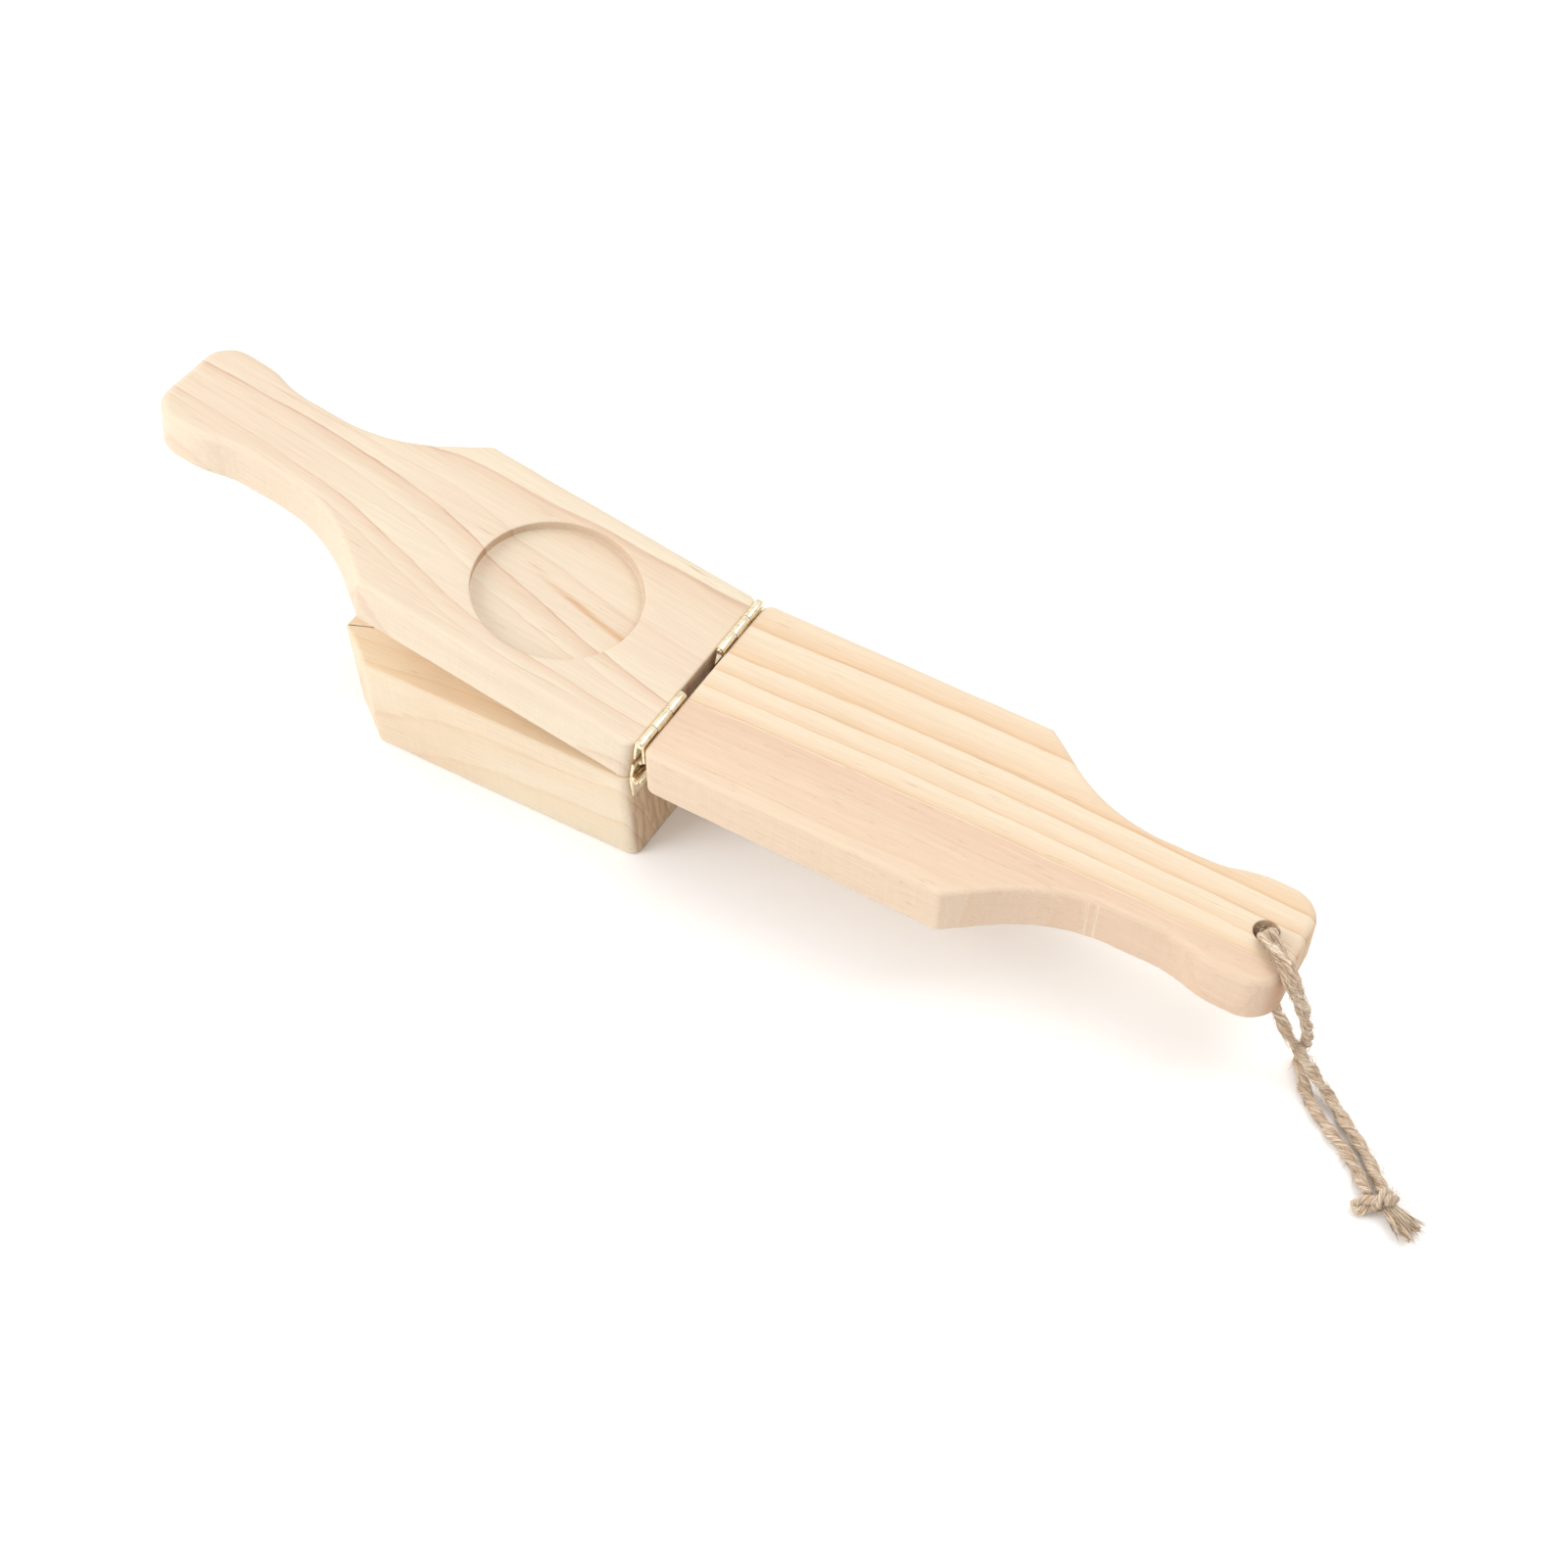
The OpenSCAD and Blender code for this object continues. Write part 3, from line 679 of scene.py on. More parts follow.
def pine_material(name, board, grain, seed, tones, power=2.2, contrast=0.6, rosy_from=None, streak=None,
                  scuffs=None, end_rings=0.45, saw_marks_and_painted_light_top=False):
    """Bare sanded pine. board is (hinge axis, turn, sense, drop) of the board's own place, and grain says
    how the rings run. tones are the pale, honey, line, rosy and fleck colours."""
    material, net, shader = new_material(name)
    axis, turn, sense, drop = board
    place = place_effect(net, BOARD_PLACE, {"Axis": tuple(axis), "Turn": turn, "Sense": sense,
                                            "Drop": drop})["Place"]
    part = net.add("ShaderNodeSeparateXYZ", {0: place}).outputs
    facing = net.add("ShaderNodeTexCoord").outputs["Normal"]
    ring, strength, units = ring_count(net, place, part, seed, **grain)
    figure = place_effect(net, PINE, {"Place": place, "Ring": ring, "Strength": strength, "Power": power,
                                      "Seed": seed})
    wear = place_effect(net, BARE_WOOD, {"Place": place})
    base = face_colour(net, place, part, ring, units, figure, tones, contrast, rosy_from, streak)
    along = (math.cos(turn), 0.0, math.sin(turn))
    base = end_colour(net, place, part, facing, along, base, figure, tones[-1], end_rings, saw_marks_and_painted_light_top)
    upward = (-math.sin(turn), 0.0, math.cos(turn))
    base, saw_marks = side_colour(net, place, part, facing, upward, base, tones[0], scuffs)
    rub = net.add("ShaderNodeAttribute", attribute_name="edge").outputs["Fac"]
    base = net.blend(net.times(rub, 0.3), base, tones[0])
    net.tree.links.new(base, shader.inputs["Base Color"])
    rough = net.plus(0.5, net.times(figure["Fibre"], 0.16))
    rough = net.plus(rough, net.times(wear["Dull"], 0.08))
    net.tree.links.new(rough, shader.inputs["Roughness"])
    shader.inputs["Specular IOR Level"].default_value = 0.28
    height = net.plus(net.times(figure["Fibre"], 0.9), wear["Height"])
    height = net.plus(height, net.times(figure["Line"], 0.35))
    height = net.plus(height, net.times(saw_marks, 0.8))
    bump = net.add("ShaderNodeBump", {"Strength": 0.35, "Distance": 0.00022, "Height": height})
    net.tree.links.new(bump.outputs[0], shader.inputs["Normal"])
    return material


RESIN = colour(233, 184, 136)
MOULD_TONES = [colour(255, 240, 214), colour(242, 208, 179), colour(212, 165, 135), colour(250, 227, 202),
               colour(184, 138, 114)]
FLAT_TONES = [colour(255, 235, 207), colour(246, 210, 170), colour(226, 184, 144), colour(243, 208, 181),
              colour(184, 144, 122)]
BLOCK_TONES = [colour(255, 238, 211), colour(250, 222, 184), colour(233, 200, 162), colour(250, 222, 190),
               colour(188, 150, 116)]

MOULD_BOARD = (BASE_AXIS, -WEDGE, -1.0, -CLOSED_LIFT)
MOULD_GRAIN = {
    "course": [(0, -16.5), (30, -12), (60, -5), (80, -1), (100, 4.5), (120, 7.5), (140, 8.5), (206, 8)],
    "above": [(0, 50), (60, 36), (90, 27), (110, 21.7), (130, 15), (206, 13)],
    "below": [(0, 12), (30, 16), (60, 22), (100, 23.5), (150, 18.5), (206, 15.5)],
    "lines": [(-2.7, 0.5), (-1.9, 0.3), (-1.22, 0.35), (-1.0, 1.0), (-0.42, 0.3), (0.0, 1.0), (0.42, 0.3),
              (1.0, 0.75), (1.5, 0.3), (2.2, 0.5)],
    "tilt": 0.25, "drift": 2.6}
FOLD_AXIS = tilted(np.array([0, 0, FOLD_RISE]), WEDGE) + BASE_AXIS
FLAT_GRAIN = {
    "course": [(0, 12.0), (30, 13), (60, 13.7), (120, 13.6), (150, 12.5), (206, 10.8)],
    "above": [(0, 10), (206, 10)],
    "below": [(0, 10), (110, 10), (150, 9.4), (206, 9)],
    "lines": [(2.9, 0.6), (1.36, 1.0), (0.0, 1.0), (-0.82, 0.95), (-1.58, 0.7), (-2.32, 0.8), (-3.3, 0.3),
              (-4.6, 0.35), (-6.0, 0.3)],
    "tilt": -0.12, "drift": 1.8}
BLOCK_GRAIN = {
    "course": [(0, 4), (60, 8), (120, 2), (206, 0)],
    "above": [(0, 9), (206, 9)],
    "below": [(0, 8), (50, 9), (206, 8)],
    "lines": [(-6.5, 0.4), (-5.4, 0.5), (-4.6, 0.45), (-3.4, 0.6), (-2.5, 0.5), (-1.2, 0.7), (0.0, 0.6),
              (1.0, 0.7), (2.1, 0.5), (3.2, 0.6), (4.2, 0.5)],
    "tilt": 0.42, "drift": 7.0}
PLUNGER_GRAIN = {
    "course": [(0, 0), (54, 2), (206, 0)],
    "above": [(0, 5.5), (206, 5)],
    "below": [(0, 5.0), (206, 5.5)],
    "lines": list(zip(range(-6, 6), (0.4, 0.7, 0.5, 0.6, 0.9, 0.5, 0.7, 0.6, 0.8, 0.5, 0.7, 0.5))),
    "tilt": 0.5, "drift": 3.0}

mould_pine = pine_material("mould_pine", MOULD_BOARD, MOULD_GRAIN, 3.0, MOULD_TONES, power=1.1, contrast=0.6,
                           streak=0.22)
flat_pine = pine_material("flat_pine", (FOLD_AXIS, VEE - WEDGE, 1.0, CLOSED_LIFT + PADDLE_T), FLAT_GRAIN, 8.0,
                          FLAT_TONES, power=2.0, contrast=0.5, rosy_from=5.0, scuffs=(146.6, 149.6))
block_pine = pine_material("block_pine", (BASE_AXIS - [0, 0, BLOCK_T + CLOSED_LIFT], 0.0, -1.0, 0.0),
                           BLOCK_GRAIN, 14.0, BLOCK_TONES, end_rings=0.75, saw_marks_and_painted_light_top=True)
plunger_pine = pine_material("plunger_wood", MOULD_BOARD, PLUNGER_GRAIN, 21.0, MOULD_TONES)


def brass_material():
    """Plated brass: pale gold, with fine rolling marks along the barrel and duller, darker patches."""
    material, net, shader = new_material("hinge_brass")
    here = net.scaled(net.add("ShaderNodeTexCoord").outputs["Object"], (1000.0, 1000.0, 1000.0))
    marks = net.noise(net.scaled(here, (3.0, 0.35, 3.0)), 4.0, 0.6)
    tarnish = net.noise(here, 3.0, 0.6, scale=0.45)
    tone = net.blend(net.step(tarnish, 0.45, 0.75), colour(247, 236, 208, 1.0), colour(214, 192, 148, 1.0))
    net.tree.links.new(tone, shader.inputs["Base Color"])
    shader.inputs["Metallic"].default_value = 1.0
    net.tree.links.new(net.plus(net.times(marks, 0.16), 0.12), shader.inputs["Roughness"])
    bump = net.add("ShaderNodeBump", {"Strength": 0.12, "Distance": 0.00005, "Height": marks})
    net.tree.links.new(bump.outputs[0], shader.inputs["Normal"])
    return material


BRASS = brass_material()


JUTE_LEVEL = 0.84
JUTE_TONES = [(248, 230, 205), (204, 172, 139), (146, 112, 84), (255, 248, 234)]


def jute_material():
    """Jute fibre: streaks that follow the ply's twist, from straw to grey-brown, with a soft nap. The
    attribute "way" is (r cos a, r sin a, s), a being the angle round the ply less its twist."""
    material, net, shader = new_material("jute_twine")
    way = net.add("ShaderNodeAttribute", attribute_name="way").outputs["Vector"]
    streak = net.noise(net.scaled(way, (5.2, 5.2, 0.16)), 5.0, 0.7)
    coarse = net.noise(net.scaled(way, (1.5, 1.5, 0.22)), 3.0, 0.65)
    straw, tan, shade, light = (colour(*tone, JUTE_LEVEL) for tone in JUTE_TONES)
    tone = net.blend(net.step(coarse, 0.40, 0.60), straw, tan)
    tone = net.blend(net.times(net.step(streak, 0.50, 0.63), 0.85), tone, shade)
    tone = net.blend(net.times(net.step(streak, 0.46, 0.34), 0.8), tone, light)
    net.tree.links.new(tone, shader.inputs["Base Color"])
    net.tree.links.new(net.plus(net.times(streak, 0.2), 0.72), shader.inputs["Roughness"])
    shader.inputs["Specular IOR Level"].default_value = 0.2
    shader.inputs["Sheen Weight"].default_value = 0.25
    bump = net.add("ShaderNodeBump", {"Strength": 0.9, "Distance": 0.0004, "Height": streak})
    net.tree.links.new(bump.outputs[0], shader.inputs["Normal"])
    return material


JUTE = jute_material()

# ------------------------------------------------------------------ boards


EDGE_REACH = 1.6


def wall_points(radius, high, low, count):
    """Evenly spaced (radius, w) points down a straight wall."""
    w = np.linspace(high, low, count)
    return np.stack([0 * w + radius, w], -1)


def floor_points(radius, w, count):
    """Evenly spaced (radius, w) points from radius to the middle of a floor at height w."""
    return np.stack([np.linspace(radius, 0, count), np.full(count, w)], -1)


def finish_board(name, node, body, material, skin, hollow, thick, place):
    """The board's skin and the wall of its recess, hole or cup as one piece that stands for the node. The
    attribute "edge" is 1 where the skin turns between side and face, and 0 on the flats and in the hollow."""
    w = skin[..., 2]
    sides = slice(CAP_STEPS, -CAP_STEPS - 1)
    mark = np.zeros(w.shape)
    mark[:, sides] = 1 - smooth(np.minimum(w, thick - w), 0.0, EDGE_REACH)[:, sides]
    mark = np.concatenate([mark.ravel(), np.zeros(hollow[..., 0].size)])
    piece = make_piece(name, [place(skin), place(hollow)], body, material, {"edge": mark},
                       weld=0.03)
    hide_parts(node)


def make_mould_paddle():
    """Paddle with the shallow round recess in its top; the recess is a profile turned about its centre."""
    loop, normal = whole_loop(paddle_half())
    rim, recess_reach, grip_end = RECESS_R + 0.5, 116.0, 190.0
    inner = recess_loop(loop, PRESS_U, rim, recess_reach, grip_end)
    skin = board_skin(loop, normal, edge_radii(loop, 5, 2.3), PADDLE_T, inner, slit(loop, 20, grip_end),
                      ripple(len(loop), 50, 0.07, 6))
    on_rim = loop[:, 0] <= recess_reach
    angles = np.sort(np.arctan2(inner[on_rim, 1], inner[on_rim, 0] - PRESS_U))
    angles = angles[np.concatenate([[True], np.diff(angles) > 1e-6])]
    floor = PADDLE_T - RECESS_DEPTH
    profile = np.concatenate([
        [[rim, PADDLE_T]], arc(rim, PADDLE_T - 0.5, 0.5, 90, 180, 5)[1:],
        wall_points(RECESS_R - 0.02, PADDLE_T - 0.7, floor + 0.8, 5),
        arc(RECESS_R - 0.7, floor + 0.7, 0.7, 0, -90, 5), floor_points(RECESS_R - 1.6, floor, 15)])
    profile[-14:-1, 1] += 0.03 * np.cos(profile[-14:-1, 0] * 1.9)
    across_grain = np.abs(np.sin(2 * angles)) ** 2
    torn = across_grain * np.maximum(ripple(len(angles), 70, 1.0, 8), 0)
    chips = 0.03 * ripple(len(angles), 60, 1.0, 7) + 0.14 * torn
    recess = bowl(PRESS_U, angles, profile, chips)
    finish_board("mould_paddle_board", "mould_paddle", "mould_paddle", mould_pine, skin, recess, PADDLE_T,
                 to_mould)


def make_flat_paddle():
    """Paddle with the hanging hole through its grip; the hole's wall is a profile turned about its centre."""
    loop, normal = whole_loop(paddle_half())
    ease = 0.35
    hole_u, rim, slit_end = PADDLE_LEN - HOLE_IN, HOLE_D / 2 + ease, 176.0
    inner = hole_loop(loop, hole_u, rim, slit_end)
    skin = board_skin(loop, normal, edge_radii(loop, 15, 1.9, 1.7), PADDLE_T, inner, inner,
                      ripple(len(loop), 50, 0.07, 16))
    on_hole = loop[:, 0] > slit_end
    angles = np.arctan2(inner[on_hole, 1], inner[on_hole, 0] - hole_u)
    angles = np.unique(np.round(np.concatenate([angles, [math.pi]]), 9))
    angles = angles[1:] if angles[0] < -math.pi + 1e-6 else angles
    profile = np.concatenate([arc(rim, PADDLE_T - ease, ease, 90, 180, 5),
                              wall_points(HOLE_D / 2, PADDLE_T - 2 * ease, 2 * ease, 5),
                              arc(rim, ease, ease, 180, 270, 5)])
    finish_board("flat_paddle_board", "flat_paddle", "flat_paddle", flat_pine, skin,
                 bowl(hole_u, angles, profile), PADDLE_T, to_flat)


def make_cup_block():
    """Thick block with the plunger's cup in its top; the cup is a profile turned about its own axis."""
    loop, normal = whole_loop(block_half())
    ease = 0.6
    cup_u, rim = HINGE_X - CUP_X, CUP_R + ease
    edge = 0.8 + 0.7 * smooth(loop[:, 0], 0.2, 5.0) - 0.8 * smooth(loop[:, 0], 116, 122)
    edge = np.maximum(edge * (1 + ripple(len(loop), 60, 0.12, 25)), 0.45)
    skin = board_skin(loop, normal, edge, BLOCK_T, ring_about(loop, cup_u, rim), slit(loop, 20, 100),
                      ripple(len(loop), 50, 0.08, 26))
    angles = np.arctan2(loop[:, 1], loop[:, 0] - cup_u)
    floor = BLOCK_T - CUP_DEPTH
    profile = np.concatenate([arc(rim, BLOCK_T - ease, ease, 90, 180, 5),
                              wall_points(CUP_R, BLOCK_T - 0.9, floor + CUP_EDGE + 0.2, 8),
                              arc(CUP_R - CUP_EDGE, floor + CUP_EDGE, CUP_EDGE, 0, -90, 9),
                              floor_points(CUP_R - CUP_EDGE - 1, floor, 12)])
    profile[-11:-1, 1] += 0.04 * np.cos(profile[-11:-1, 0] * 1.6)
    finish_board("cup_block_body", "cup_block", "block", block_pine, skin, bowl(cup_u, angles, profile),
                 BLOCK_T, to_block)


def make_plunger():
    """Turned knob: a straight side with faint tool rings, a rounded working edge and a slightly hollow face,
    turned about the axis below the recess."""
    face_w, seat_r = -PLUNGER_LEN, PLUNGER_R - 0.9
    side_w = np.linspace(-0.6, face_w + PLUNGER_EDGE + 0.4, 34)
    rings = 0.035 * np.sin(side_w * 4.1) + 0.02 * np.sin(side_w * 7.3 + 1)
    face_r = np.linspace(PLUNGER_R - PLUNGER_EDGE - 0.8, 0, 14)
    profile = np.concatenate([[[0, 0.4], [seat_r, 0.4], [seat_r, 0.0], [PLUNGER_R - 0.5, -0.05]],
                              np.stack([PLUNGER_R - 0.06 + rings, side_w], -1),
                              arc(PLUNGER_R - PLUNGER_EDGE, face_w + PLUNGER_EDGE, PLUNGER_EDGE, 0, -90, 12),
                              np.stack([face_r, face_w + 0.02 + 0.03 * np.cos(face_r * 2.2)], -1)])
    profile[-1, 0] = 0.0
    angles = np.linspace(-math.pi, math.pi, 121)[:-1]
    piece = make_piece("plunger_knob", [to_mould(bowl(PRESS_U, angles, profile))], "mould_paddle",
                       plunger_pine, sharp=50)
    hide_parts("plunger")


make_mould_paddle()
make_flat_paddle()
make_cup_block()
make_plunger()

# ------------------------------------------------------------------ hinges


PIN_SIDES = 32


def dressed_metal(node, name, body, bevel):
    """A copy of a CAD node's mesh, merged, its flats made whole and its edges given a fine bevel."""
    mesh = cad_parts[node].data.copy()
    bm = bmesh.new()
    bm.from_mesh(mesh)
    bmesh.ops.remove_doubles(bm, verts=bm.verts, dist=2e-6)
    bmesh.ops.dissolve_limit(bm, angle_limit=math.radians(1.2), verts=bm.verts, edges=bm.edges)
    corner = [e for e in bm.edges if len(e.link_faces) == 2 and e.calc_face_angle(0) > math.radians(35)]
    bmesh.ops.bevel(bm, geom=corner, offset=bevel * MM, offset_type="OFFSET", segments=2, profile=0.5,
                    affect="EDGES", clamp_overlap=True)
    bmesh.ops.triangulate(bm, faces=bm.faces)
    bm.to_mesh(mesh)
    bm.free()
    piece = finish_piece(name, mesh, body, BRASS, 30)
    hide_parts(node)


def make_pin(node, name, body, axis_place):
    """Hinge pin with domed ends: a profile turned about the barrel's axis, from one dome to the other."""
    dome = np.radians(np.linspace(90, 8, 7))
    head_r, tip = PIN_R * 1.25, HINGE_LEN / 2
    end = np.stack([head_r * np.cos(dome), tip + 0.12 + 0.45 * np.sin(dome)], -1)
    neck = np.array([[head_r, tip + 0.06], [PIN_R, tip + 0.04], [PIN_R, tip - 0.2]])
    half = np.concatenate([end, neck])
    profile = np.concatenate([half, half[::-1] * [1, -1]])
    a = np.linspace(0, TAU, PIN_SIDES, endpoint=False)[:, None]
    r, y = profile[None, :, 0], profile[None, :, 1]
    grid = np.stack([r * np.cos(a), np.broadcast_to(y, (PIN_SIDES, len(profile))), r * np.sin(a)], -1)
    piece = make_piece(name, [grid + axis_place], body, BRASS, sharp=60)
    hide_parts(node)


LEAF_BEVEL, SCREW_BEVEL = 0.16, 0.05
# Joint, level, board, body and side of the hinge for each leaf and its two screws
LEAVES = (("fold", "upper", "mould", "mould_paddle", "outer"),
          ("fold", "upper", "flat", "flat_paddle", "inner"),
          ("base", "lower", "block", "block", "outer"), ("base", "lower", "mould", "mould_paddle", "inner"))
for side, hinge_y in (("front", -HINGE_Y), ("back", HINGE_Y)):
    offset = np.array([0, hinge_y, 0])
    make_pin(f"fold_{side}_pin", f"upper_{side}_hinge_pin", "mould_paddle", FOLD_AXIS + offset)
    make_pin(f"base_{side}_pin", f"lower_{side}_hinge_pin", "block", BASE_AXIS + offset)
    for joint, level, board, body, leaf in LEAVES:
        dressed_metal(f"{joint}_{side}_{board}_leaf", f"{level}_{side}_{leaf}_leaf", body,
                      LEAF_BEVEL)
    for joint, level, board, body, leaf in LEAVES:
        dressed_metal(f"{joint}_{side}_{board}_screws", f"{level}_{side}_{board}_screws", body,
                      SCREW_BEVEL)

# ------------------------------------------------------------------ twine

REFERENCE = np.array([0.64, 0.77, 0.0])
UP = np.array([0, 0, 1.0])


def unit(v):
    """Vectors brought to length one."""
    return v / np.linalg.norm(v, axis=-1, keepdims=True)


def round_about(angle, n, b):
    """Directions at an angle that turns from n towards b."""
    return np.cos(angle)[..., None] * n + np.sin(angle)[..., None] * b


def route_line(route, step):
    """Catmull-Rom curve through the route's points, then points at equal steps of its length."""
    p = np.concatenate([[2 * route[0] - route[1]], route, [2 * route[-1] - route[-2]]])
    t = np.linspace(0, 1, 24, endpoint=False)[None, :, None]
    a, b, c, d = (p[k:len(p) - 3 + k, None] for k in range(4))
    curve = 0.5 * (2 * b + (c - a) * t + (2 * a - 5 * b + 4 * c - d) * t**2 + (3 * b - a - 3 * c + d) * t**3)
    curve = np.concatenate([curve.reshape(-1, 3), route[-1:]])
    s = np.concatenate([[0], np.cumsum(np.linalg.norm(np.diff(curve, axis=0), axis=1))])
    even = np.linspace(0, s[-1], max(8, int(s[-1] / step)))
    return np.stack([np.interp(even, s, curve[:, k]) for k in range(3)], -1), even


def sides_of(way, reference=REFERENCE):
    """Two unit directions across a line at each of its points: the first is the line's direction crossed
    with a fixed one, the second completes the set."""
    t = unit(np.gradient(way, axis=0))
    n = np.cross(t, reference)
    n /= np.maximum(np.linalg.norm(n, axis=1, keepdims=True), 1e-6)
    return t, n, np.cross(n, t)


RIDGES = ((3, 0.045), (5, 0.045), (8, 0.045), (12, 0.04))
WANDERS = ((0.9, 0.09), (2.3, 0.06))
PLY_SIDES = 36


def ply_sheets(way, s, width, pitch, plies, seed, reference=REFERENCE, ends=0.8, flat=1.0):
    """Twisted plies. Ply k's middle circles the line at a fifth of the twine's width, once in each pitch,
    and its section is a circle with shallow fibre ridges that turn the other way. The radius closes to
    nothing at both ends. Returns each ply's grid and its fibre-following attribute."""
    rng = np.random.default_rng(seed)
    t, n, b = sides_of(way, reference)
    squash = n * np.reshape(flat, (-1, 1))
    turn = np.cumsum(np.gradient(s) / pitch) * TAU
    close = np.sqrt(np.clip(s / ends, 0, 1) * np.clip((s[-1] - s) / ends, 0, 1))
    angle = np.linspace(0, TAU, PLY_SIDES, endpoint=False)[None, :]
    made = []
    for k in range(plies):
        phase = turn + TAU * k / plies
        wander = 1 + sum(size * np.sin(s * rate + rng.uniform(0, TAU)) for rate, size in WANDERS)
        middle = way + (0.20 * width * wander)[:, None] * round_about(phase, squash, b)
        twist = angle - 0.9 * turn[:, None]
        ridge = sum(size * np.cos(m * twist + rng.uniform(0, TAU) + 0.8 * np.sin(s * 0.35 + m)[:, None])
                    for m, size in RIDGES)
        r = (0.30 * width * close)[:, None] * (1 + ridge)
        grid = middle[:, None] + r[..., None] * round_about(angle + phase[:, None], squash[:, None],
                                                            b[:, None])
        grid = np.concatenate([middle[:1, None] + 0 * grid[:1], grid, middle[-1:, None] + 0 * grid[:1]])
        twist = np.concatenate([twist[:1], twist, twist[-1:]])
        long_s = np.concatenate([s[:1], s, s[-1:]])[:, None]
        fibre = np.stack([np.cos(twist), np.sin(twist), long_s + 37.0 * k + 0 * twist], -1)
        made.append((grid.transpose(1, 0, 2), fibre.transpose(1, 0, 2)))
    return made


def twine_piece(name, plies):
    """Plies as one piece in the jute material, riding on the flat paddle."""
    ways = {"way": np.concatenate([way.reshape(-1, 3) for _, way in plies])}
    return make_piece(name, [grid for grid, _ in plies], "flat_paddle", JUTE, ways, sharp=70,
                      weld=0.002)


def hair_sheets(base, heading, length, radius, bend, steps=5):
    """Loose fibres: from each base point along its heading, bending as the square of the way along, three
    points round and a radius that closes to nothing at both ends."""
    t = np.linspace(0, 1, steps)[None, :, None]
    length = length[:, None, None]
    middle = base[:, None] + heading[:, None] * (length * t) + bend[:, None] * (length * t**2)
    ahead = unit(np.gradient(middle, axis=1))
    n = unit(np.cross(ahead, [0.31, 0.22, 0.92]))
    b = np.cross(n, ahead)
    size = radius[:, None, None] * np.sqrt(np.clip(1 - (2 * t - 1) ** 8, 0, 1)) * (1 - 0.5 * t)
    a = np.linspace(0, TAU, 3, endpoint=False)
    return middle[:, :, None] + size[:, :, None] * round_about(a, n[:, :, None], b[:, :, None])


def under_fold(rings):
    """Fibres pressed to within 4.8 mm of the flat paddle's top plane, so that they clear the other paddle
    when the two are folded together."""
    tilt = WEDGE - VEE
    up = np.array([math.sin(tilt), 0.0, math.cos(tilt)])
    height = (rings - to_flat(np.array([0.0, 0.0, PADDLE_T]))) @ up
    return rings - np.maximum(height - 4.8, 0)[..., None] * up


def hair_piece(name, rings, seed):
    """Many thin fibres as one mesh, each fibre keeping its own place in the jute material's streaks."""
    count, steps, around = rings.shape[:3]
    rng = np.random.default_rng(seed)
    tag = np.repeat(rng.uniform(-2, 2, (count, 1, 2)), steps * around, 1)
    far = np.repeat(rng.uniform(0, 90, (count, 1, 1)), steps * around, 1)
    i = np.arange(around)
    row = np.arange(steps - 1)[:, None] * around
    near, nxt = row + i, row + (i + 1) % around
    quad = np.stack([near, nxt, nxt + around, near + around], -1).reshape(1, -1, 4)
    quad = (quad + (np.arange(count) * steps * around)[:, None, None]).reshape(-1, 4)
    mesh = bpy.data.meshes.new(name)
    mesh.from_pydata((rings.reshape(-1, 3) * MM).tolist(), [], quad.tolist())
    way = mesh.attributes.new("way", "FLOAT_VECTOR", "POINT")
    way.data.foreach_set("vector", np.concatenate([tag, far], -1).astype(np.float32).ravel())
    return finish_piece(name, sewn(mesh, 1e-7, 1e-8), "flat_paddle", JUTE, 180)


def leg(name, route, seed, loose):
    """One leg of the loop: two plies, wider and slacker where loose is set along the first stretch."""
    way, s = route_line(route, 0.42)
    slack = 1 + loose * (1 - 0.45 * smooth(s, 14, 30)) * (1 - smooth(s, 34, 50))
    width = TWINE_D * 1.02 * slack * (1 + 0.05 * np.sin(s * 0.31 + seed))
    pitch = 17.0 + 50.0 * (slack - 1)
    plies = ply_sheets(way, s, width, pitch, 2, seed, flat=0.94 - 0.30 * (slack - 1))
    return twine_piece(name, plies), way, width


upper_leg, upper_way, upper_width = leg("twine_upper_leg", UPPER_ROUTE, 31, 0.60)
lower_leg, lower_way, lower_width = leg("twine_lower_leg", LOWER_ROUTE, 32, 0.0)
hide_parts("twine_upper")
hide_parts("twine_lower")

KNOT_STEP = 0.3
RUN = TAILS_END - KNOT_AT
ALONG = np.array([RUN[0], RUN[1], 0.0]) / math.hypot(RUN[0], RUN[1])
ACROSS = np.array([-ALONG[1], ALONG[0], 0.0])


def from_tails(p):
    """Directions given as (along the tails, across, up), in the row frame."""
    return p[:, :1] * ALONG + p[:, 1:2] * ACROSS + p[:, 2:] * UP


def in_knot(points):
    """Points given as (along the tails, across, up) about the knot's middle, in the row frame."""
    return KNOT_AT + from_tails(np.asarray(points, float))


def make_knot():
    """Overhand knot: a strand that winds one and three quarter turns round the legs, and the small bight
    that it leaves at the side, each a pair of plies along its own curve."""
    t = np.linspace(0, 1, 15)[:, None]
    a = math.radians(215) + t * TAU * 1.75
    coil = in_knot(np.concatenate([-2.3 + 4.4 * t, 2.55 * np.cos(a), 2.45 * np.sin(a)], 1))
    bight = in_knot([[1.4, 0.6, -0.6], [-0.4, -1.6, 1.6], [-2.2, -3.6, 0.9], [-3.7, -5.3, -0.6],
                     [-4.3, -6.5, -1.9], [-3.2, -7.3, -2.3], [-1.9, -6.5, -2.0], [-1.5, -4.8, -1.2],
                     [-1.9, -2.9, -1.2], [-1.2, -0.6, -1.0]])
    plies = []
    for route, width, seed, reference in ((coil, 3.5, 41, ALONG),
                                          (bight, 3.0, 42, np.array([0.2, 0.3, 0.93]))):
        way, s = route_line(route, KNOT_STEP)
        plies += ply_sheets(way, s, width + 0 * s, 11.0, 2, seed, reference=reference)
    return twine_piece("twine_overhand_knot", plies)


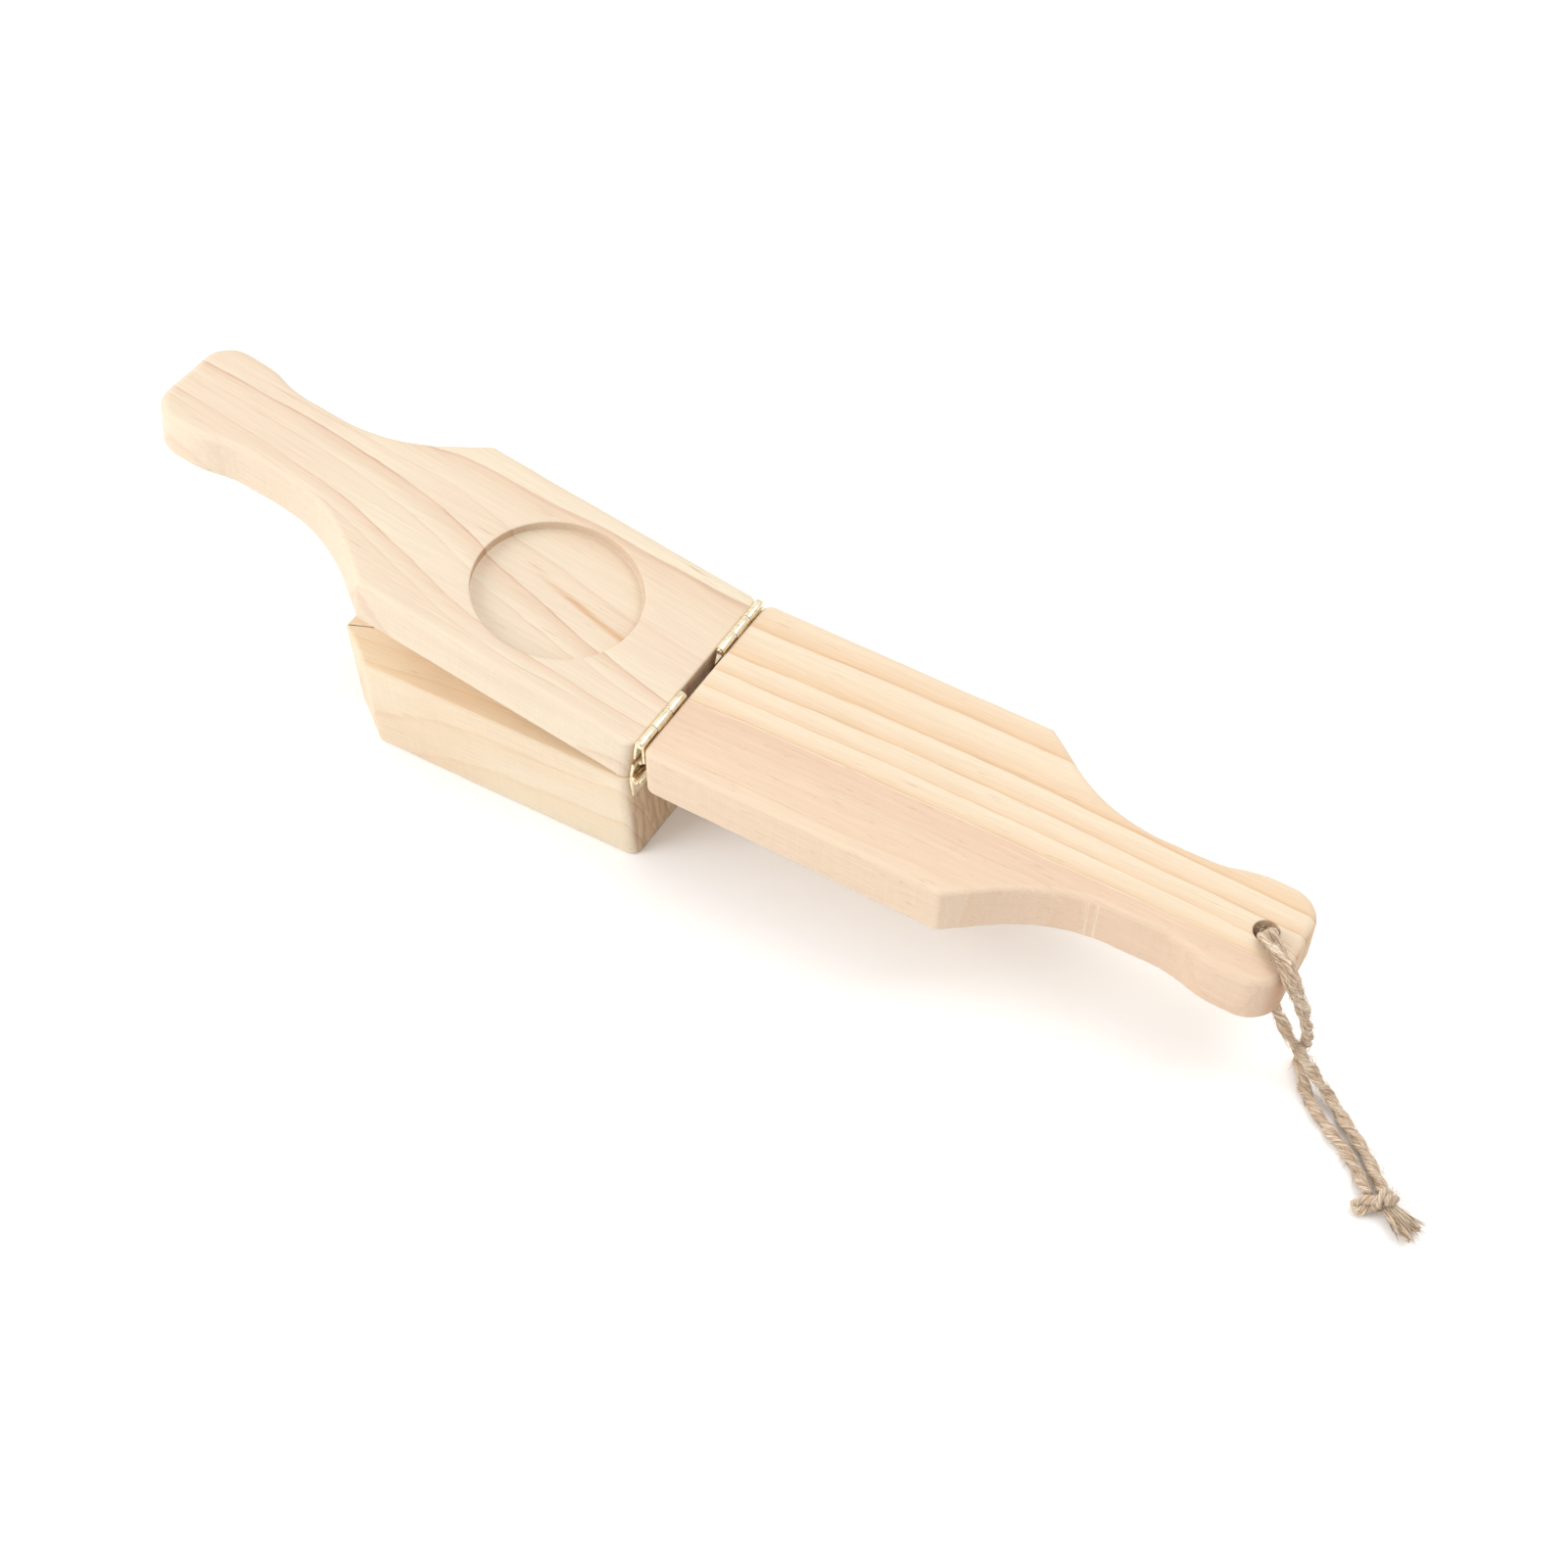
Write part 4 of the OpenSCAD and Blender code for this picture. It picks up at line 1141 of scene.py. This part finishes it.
def make_tails():
    """Two short frayed ends: slack tapering plies inside a tuft of loose fibres that spread from the knot."""
    rng = np.random.default_rng(51)
    plies = []
    for off, end, bow, seed in (((1.5, 0.7, 0.4), (13.0, 2.3, -0.6), -0.3, 52),
                                ((1.2, -0.8, -0.6), (13.6, -2.0, -1.6), 0.5, 53)):
        mid = [(off[0] + end[0]) / 2, (off[1] + end[1]) / 2 + bow, -0.9]
        way, s = route_line(in_knot([off, mid, end]), KNOT_STEP)
        plies += ply_sheets(way, s, 2.7 + 0.10 * s, 15.0, 3, seed, ends=4.5)
    core = twine_piece("twine_tail_plies", plies)
    count = 240
    r = np.sqrt(rng.uniform(0, 1, count))
    a = rng.uniform(0, TAU, count)
    base = in_knot(np.stack([rng.uniform(1.5, 6.0, count), 2.2 * r * np.cos(a), 1.9 * r * np.sin(a) - 0.6],
                            -1))
    spread = np.stack([12 + 0 * r, 3.2 * r * np.cos(a), 1.8 * r * np.sin(a)], -1)
    spread = spread + rng.normal(0, 0.6, (count, 3))
    heading = unit(from_tails(spread))
    bend = rng.normal(0, 0.10, (count, 3))
    length = rng.uniform(5.0, 9.5, count)
    rings = hair_sheets(base, heading, length, rng.uniform(0.10, 0.24, count), bend, 7)
    rings[..., 2] = np.maximum(rings[..., 2], 0.15)
    return core, hair_piece("twine_tail_fibres", rings, 53)


def on_leg(rng, way, first, last, count):
    """Random points of a leg: their numbers, the leg's direction there, and one straight out of its side."""
    i = rng.integers(first, last, count)
    t, n, b = sides_of(way)
    return i, t[i], round_about(rng.uniform(0, TAU, count), n[i], b[i])


def stray_sheets(rng, base, heading, thickest):
    """Short fibres that leave their base along the heading and bend at random."""
    count = len(base)
    return hair_sheets(base, unit(heading), rng.gamma(4.0, 0.45, count) + 0.5,
                       rng.uniform(0.035, thickest, count), rng.normal(0, 0.28, (count, 3)))


def make_fuzz():
    """Fibres that stand off the twine: short ones that leave its surface at a slant, longer ones that lie
    along it, and short ones all round the knot."""
    rng = np.random.default_rng(61)
    parts = []
    for way, width, count in ((upper_way, upper_width, 330), (lower_way, lower_width, 220)):
        i, along, out = on_leg(rng, way, 12, len(way) - 4, count)
        heading = out * rng.uniform(0.25, 0.8, (count, 1)) + along * rng.choice([-1, 1], (count, 1))
        heading = heading + rng.normal(0, 0.25, (count, 3))
        parts.append(stray_sheets(rng, way[i] + out * (0.40 * width[i])[:, None], heading, 0.075))
    for way, width, first, last, count in ((upper_way, upper_width, 4, 110, 300),
                                           (upper_way, upper_width, 110, 290, 220),
                                           (lower_way, lower_width, 4, 200, 220)):
        i, along, out = on_leg(rng, way, first, last, count)
        base = way[i] + out * ((0.40 + 0.06 * rng.uniform(0, 1, count)) * width[i])[:, None]
        heading = unit(along + rng.normal(0, 0.13, (count, 3)))
        parts.append(hair_sheets(base, heading, rng.uniform(2.5, 7.0, count), rng.uniform(0.06, 0.13, count),
                                 rng.normal(0, 0.06, (count, 3)) - 0.04 * out))
    count = 130
    a, z = rng.uniform(0, TAU, count), rng.uniform(-0.6, 1, count)
    level = np.sqrt(1 - z * z)
    out = from_tails(np.stack([np.cos(a) * level, np.sin(a) * level, z], -1))
    parts.append(stray_sheets(rng, KNOT_AT + out * 3.4, out + rng.normal(0, 0.6, (count, 3)), 0.07))
    rings = under_fold(np.concatenate(parts))
    rings[..., 2] = np.maximum(rings[..., 2], 0.08)
    return hair_piece("twine_fuzz", rings, 62)


knot = make_knot()
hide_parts("twine_knot")
tail_plies, tail_fibres = make_tails()
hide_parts("twine_tails")
fuzz = make_fuzz()


# ------------------------------------------------------------------ floor


def make_floor():
    """A pale flat sheet under everything, with the faintest unevenness of tone."""
    material, net, shader = new_material("pale_floor")
    here = net.add("ShaderNodeTexCoord").outputs["Object"]
    tone = net.blend(net.noise(here, 2.0, 0.5, scale=3.0), (0.93, 0.93, 0.93, 1), (0.95, 0.95, 0.95, 1))
    net.tree.links.new(tone, shader.inputs["Base Color"])
    shader.inputs["Roughness"].default_value = 0.9
    shader.inputs["Specular IOR Level"].default_value = 0.1
    mesh = bpy.data.meshes.new("floor")
    reach = 6.0
    corners = [(-reach, -reach, 0), (reach, -reach, 0), (reach, reach, 0), (-reach, reach, 0)]
    mesh.from_pydata(corners, [], [(0, 1, 2, 3)])
    mesh.materials.append(material)
    floor = bpy.data.objects.new("floor", mesh)
    bpy.context.scene.collection.objects.link(floor)


make_floor()
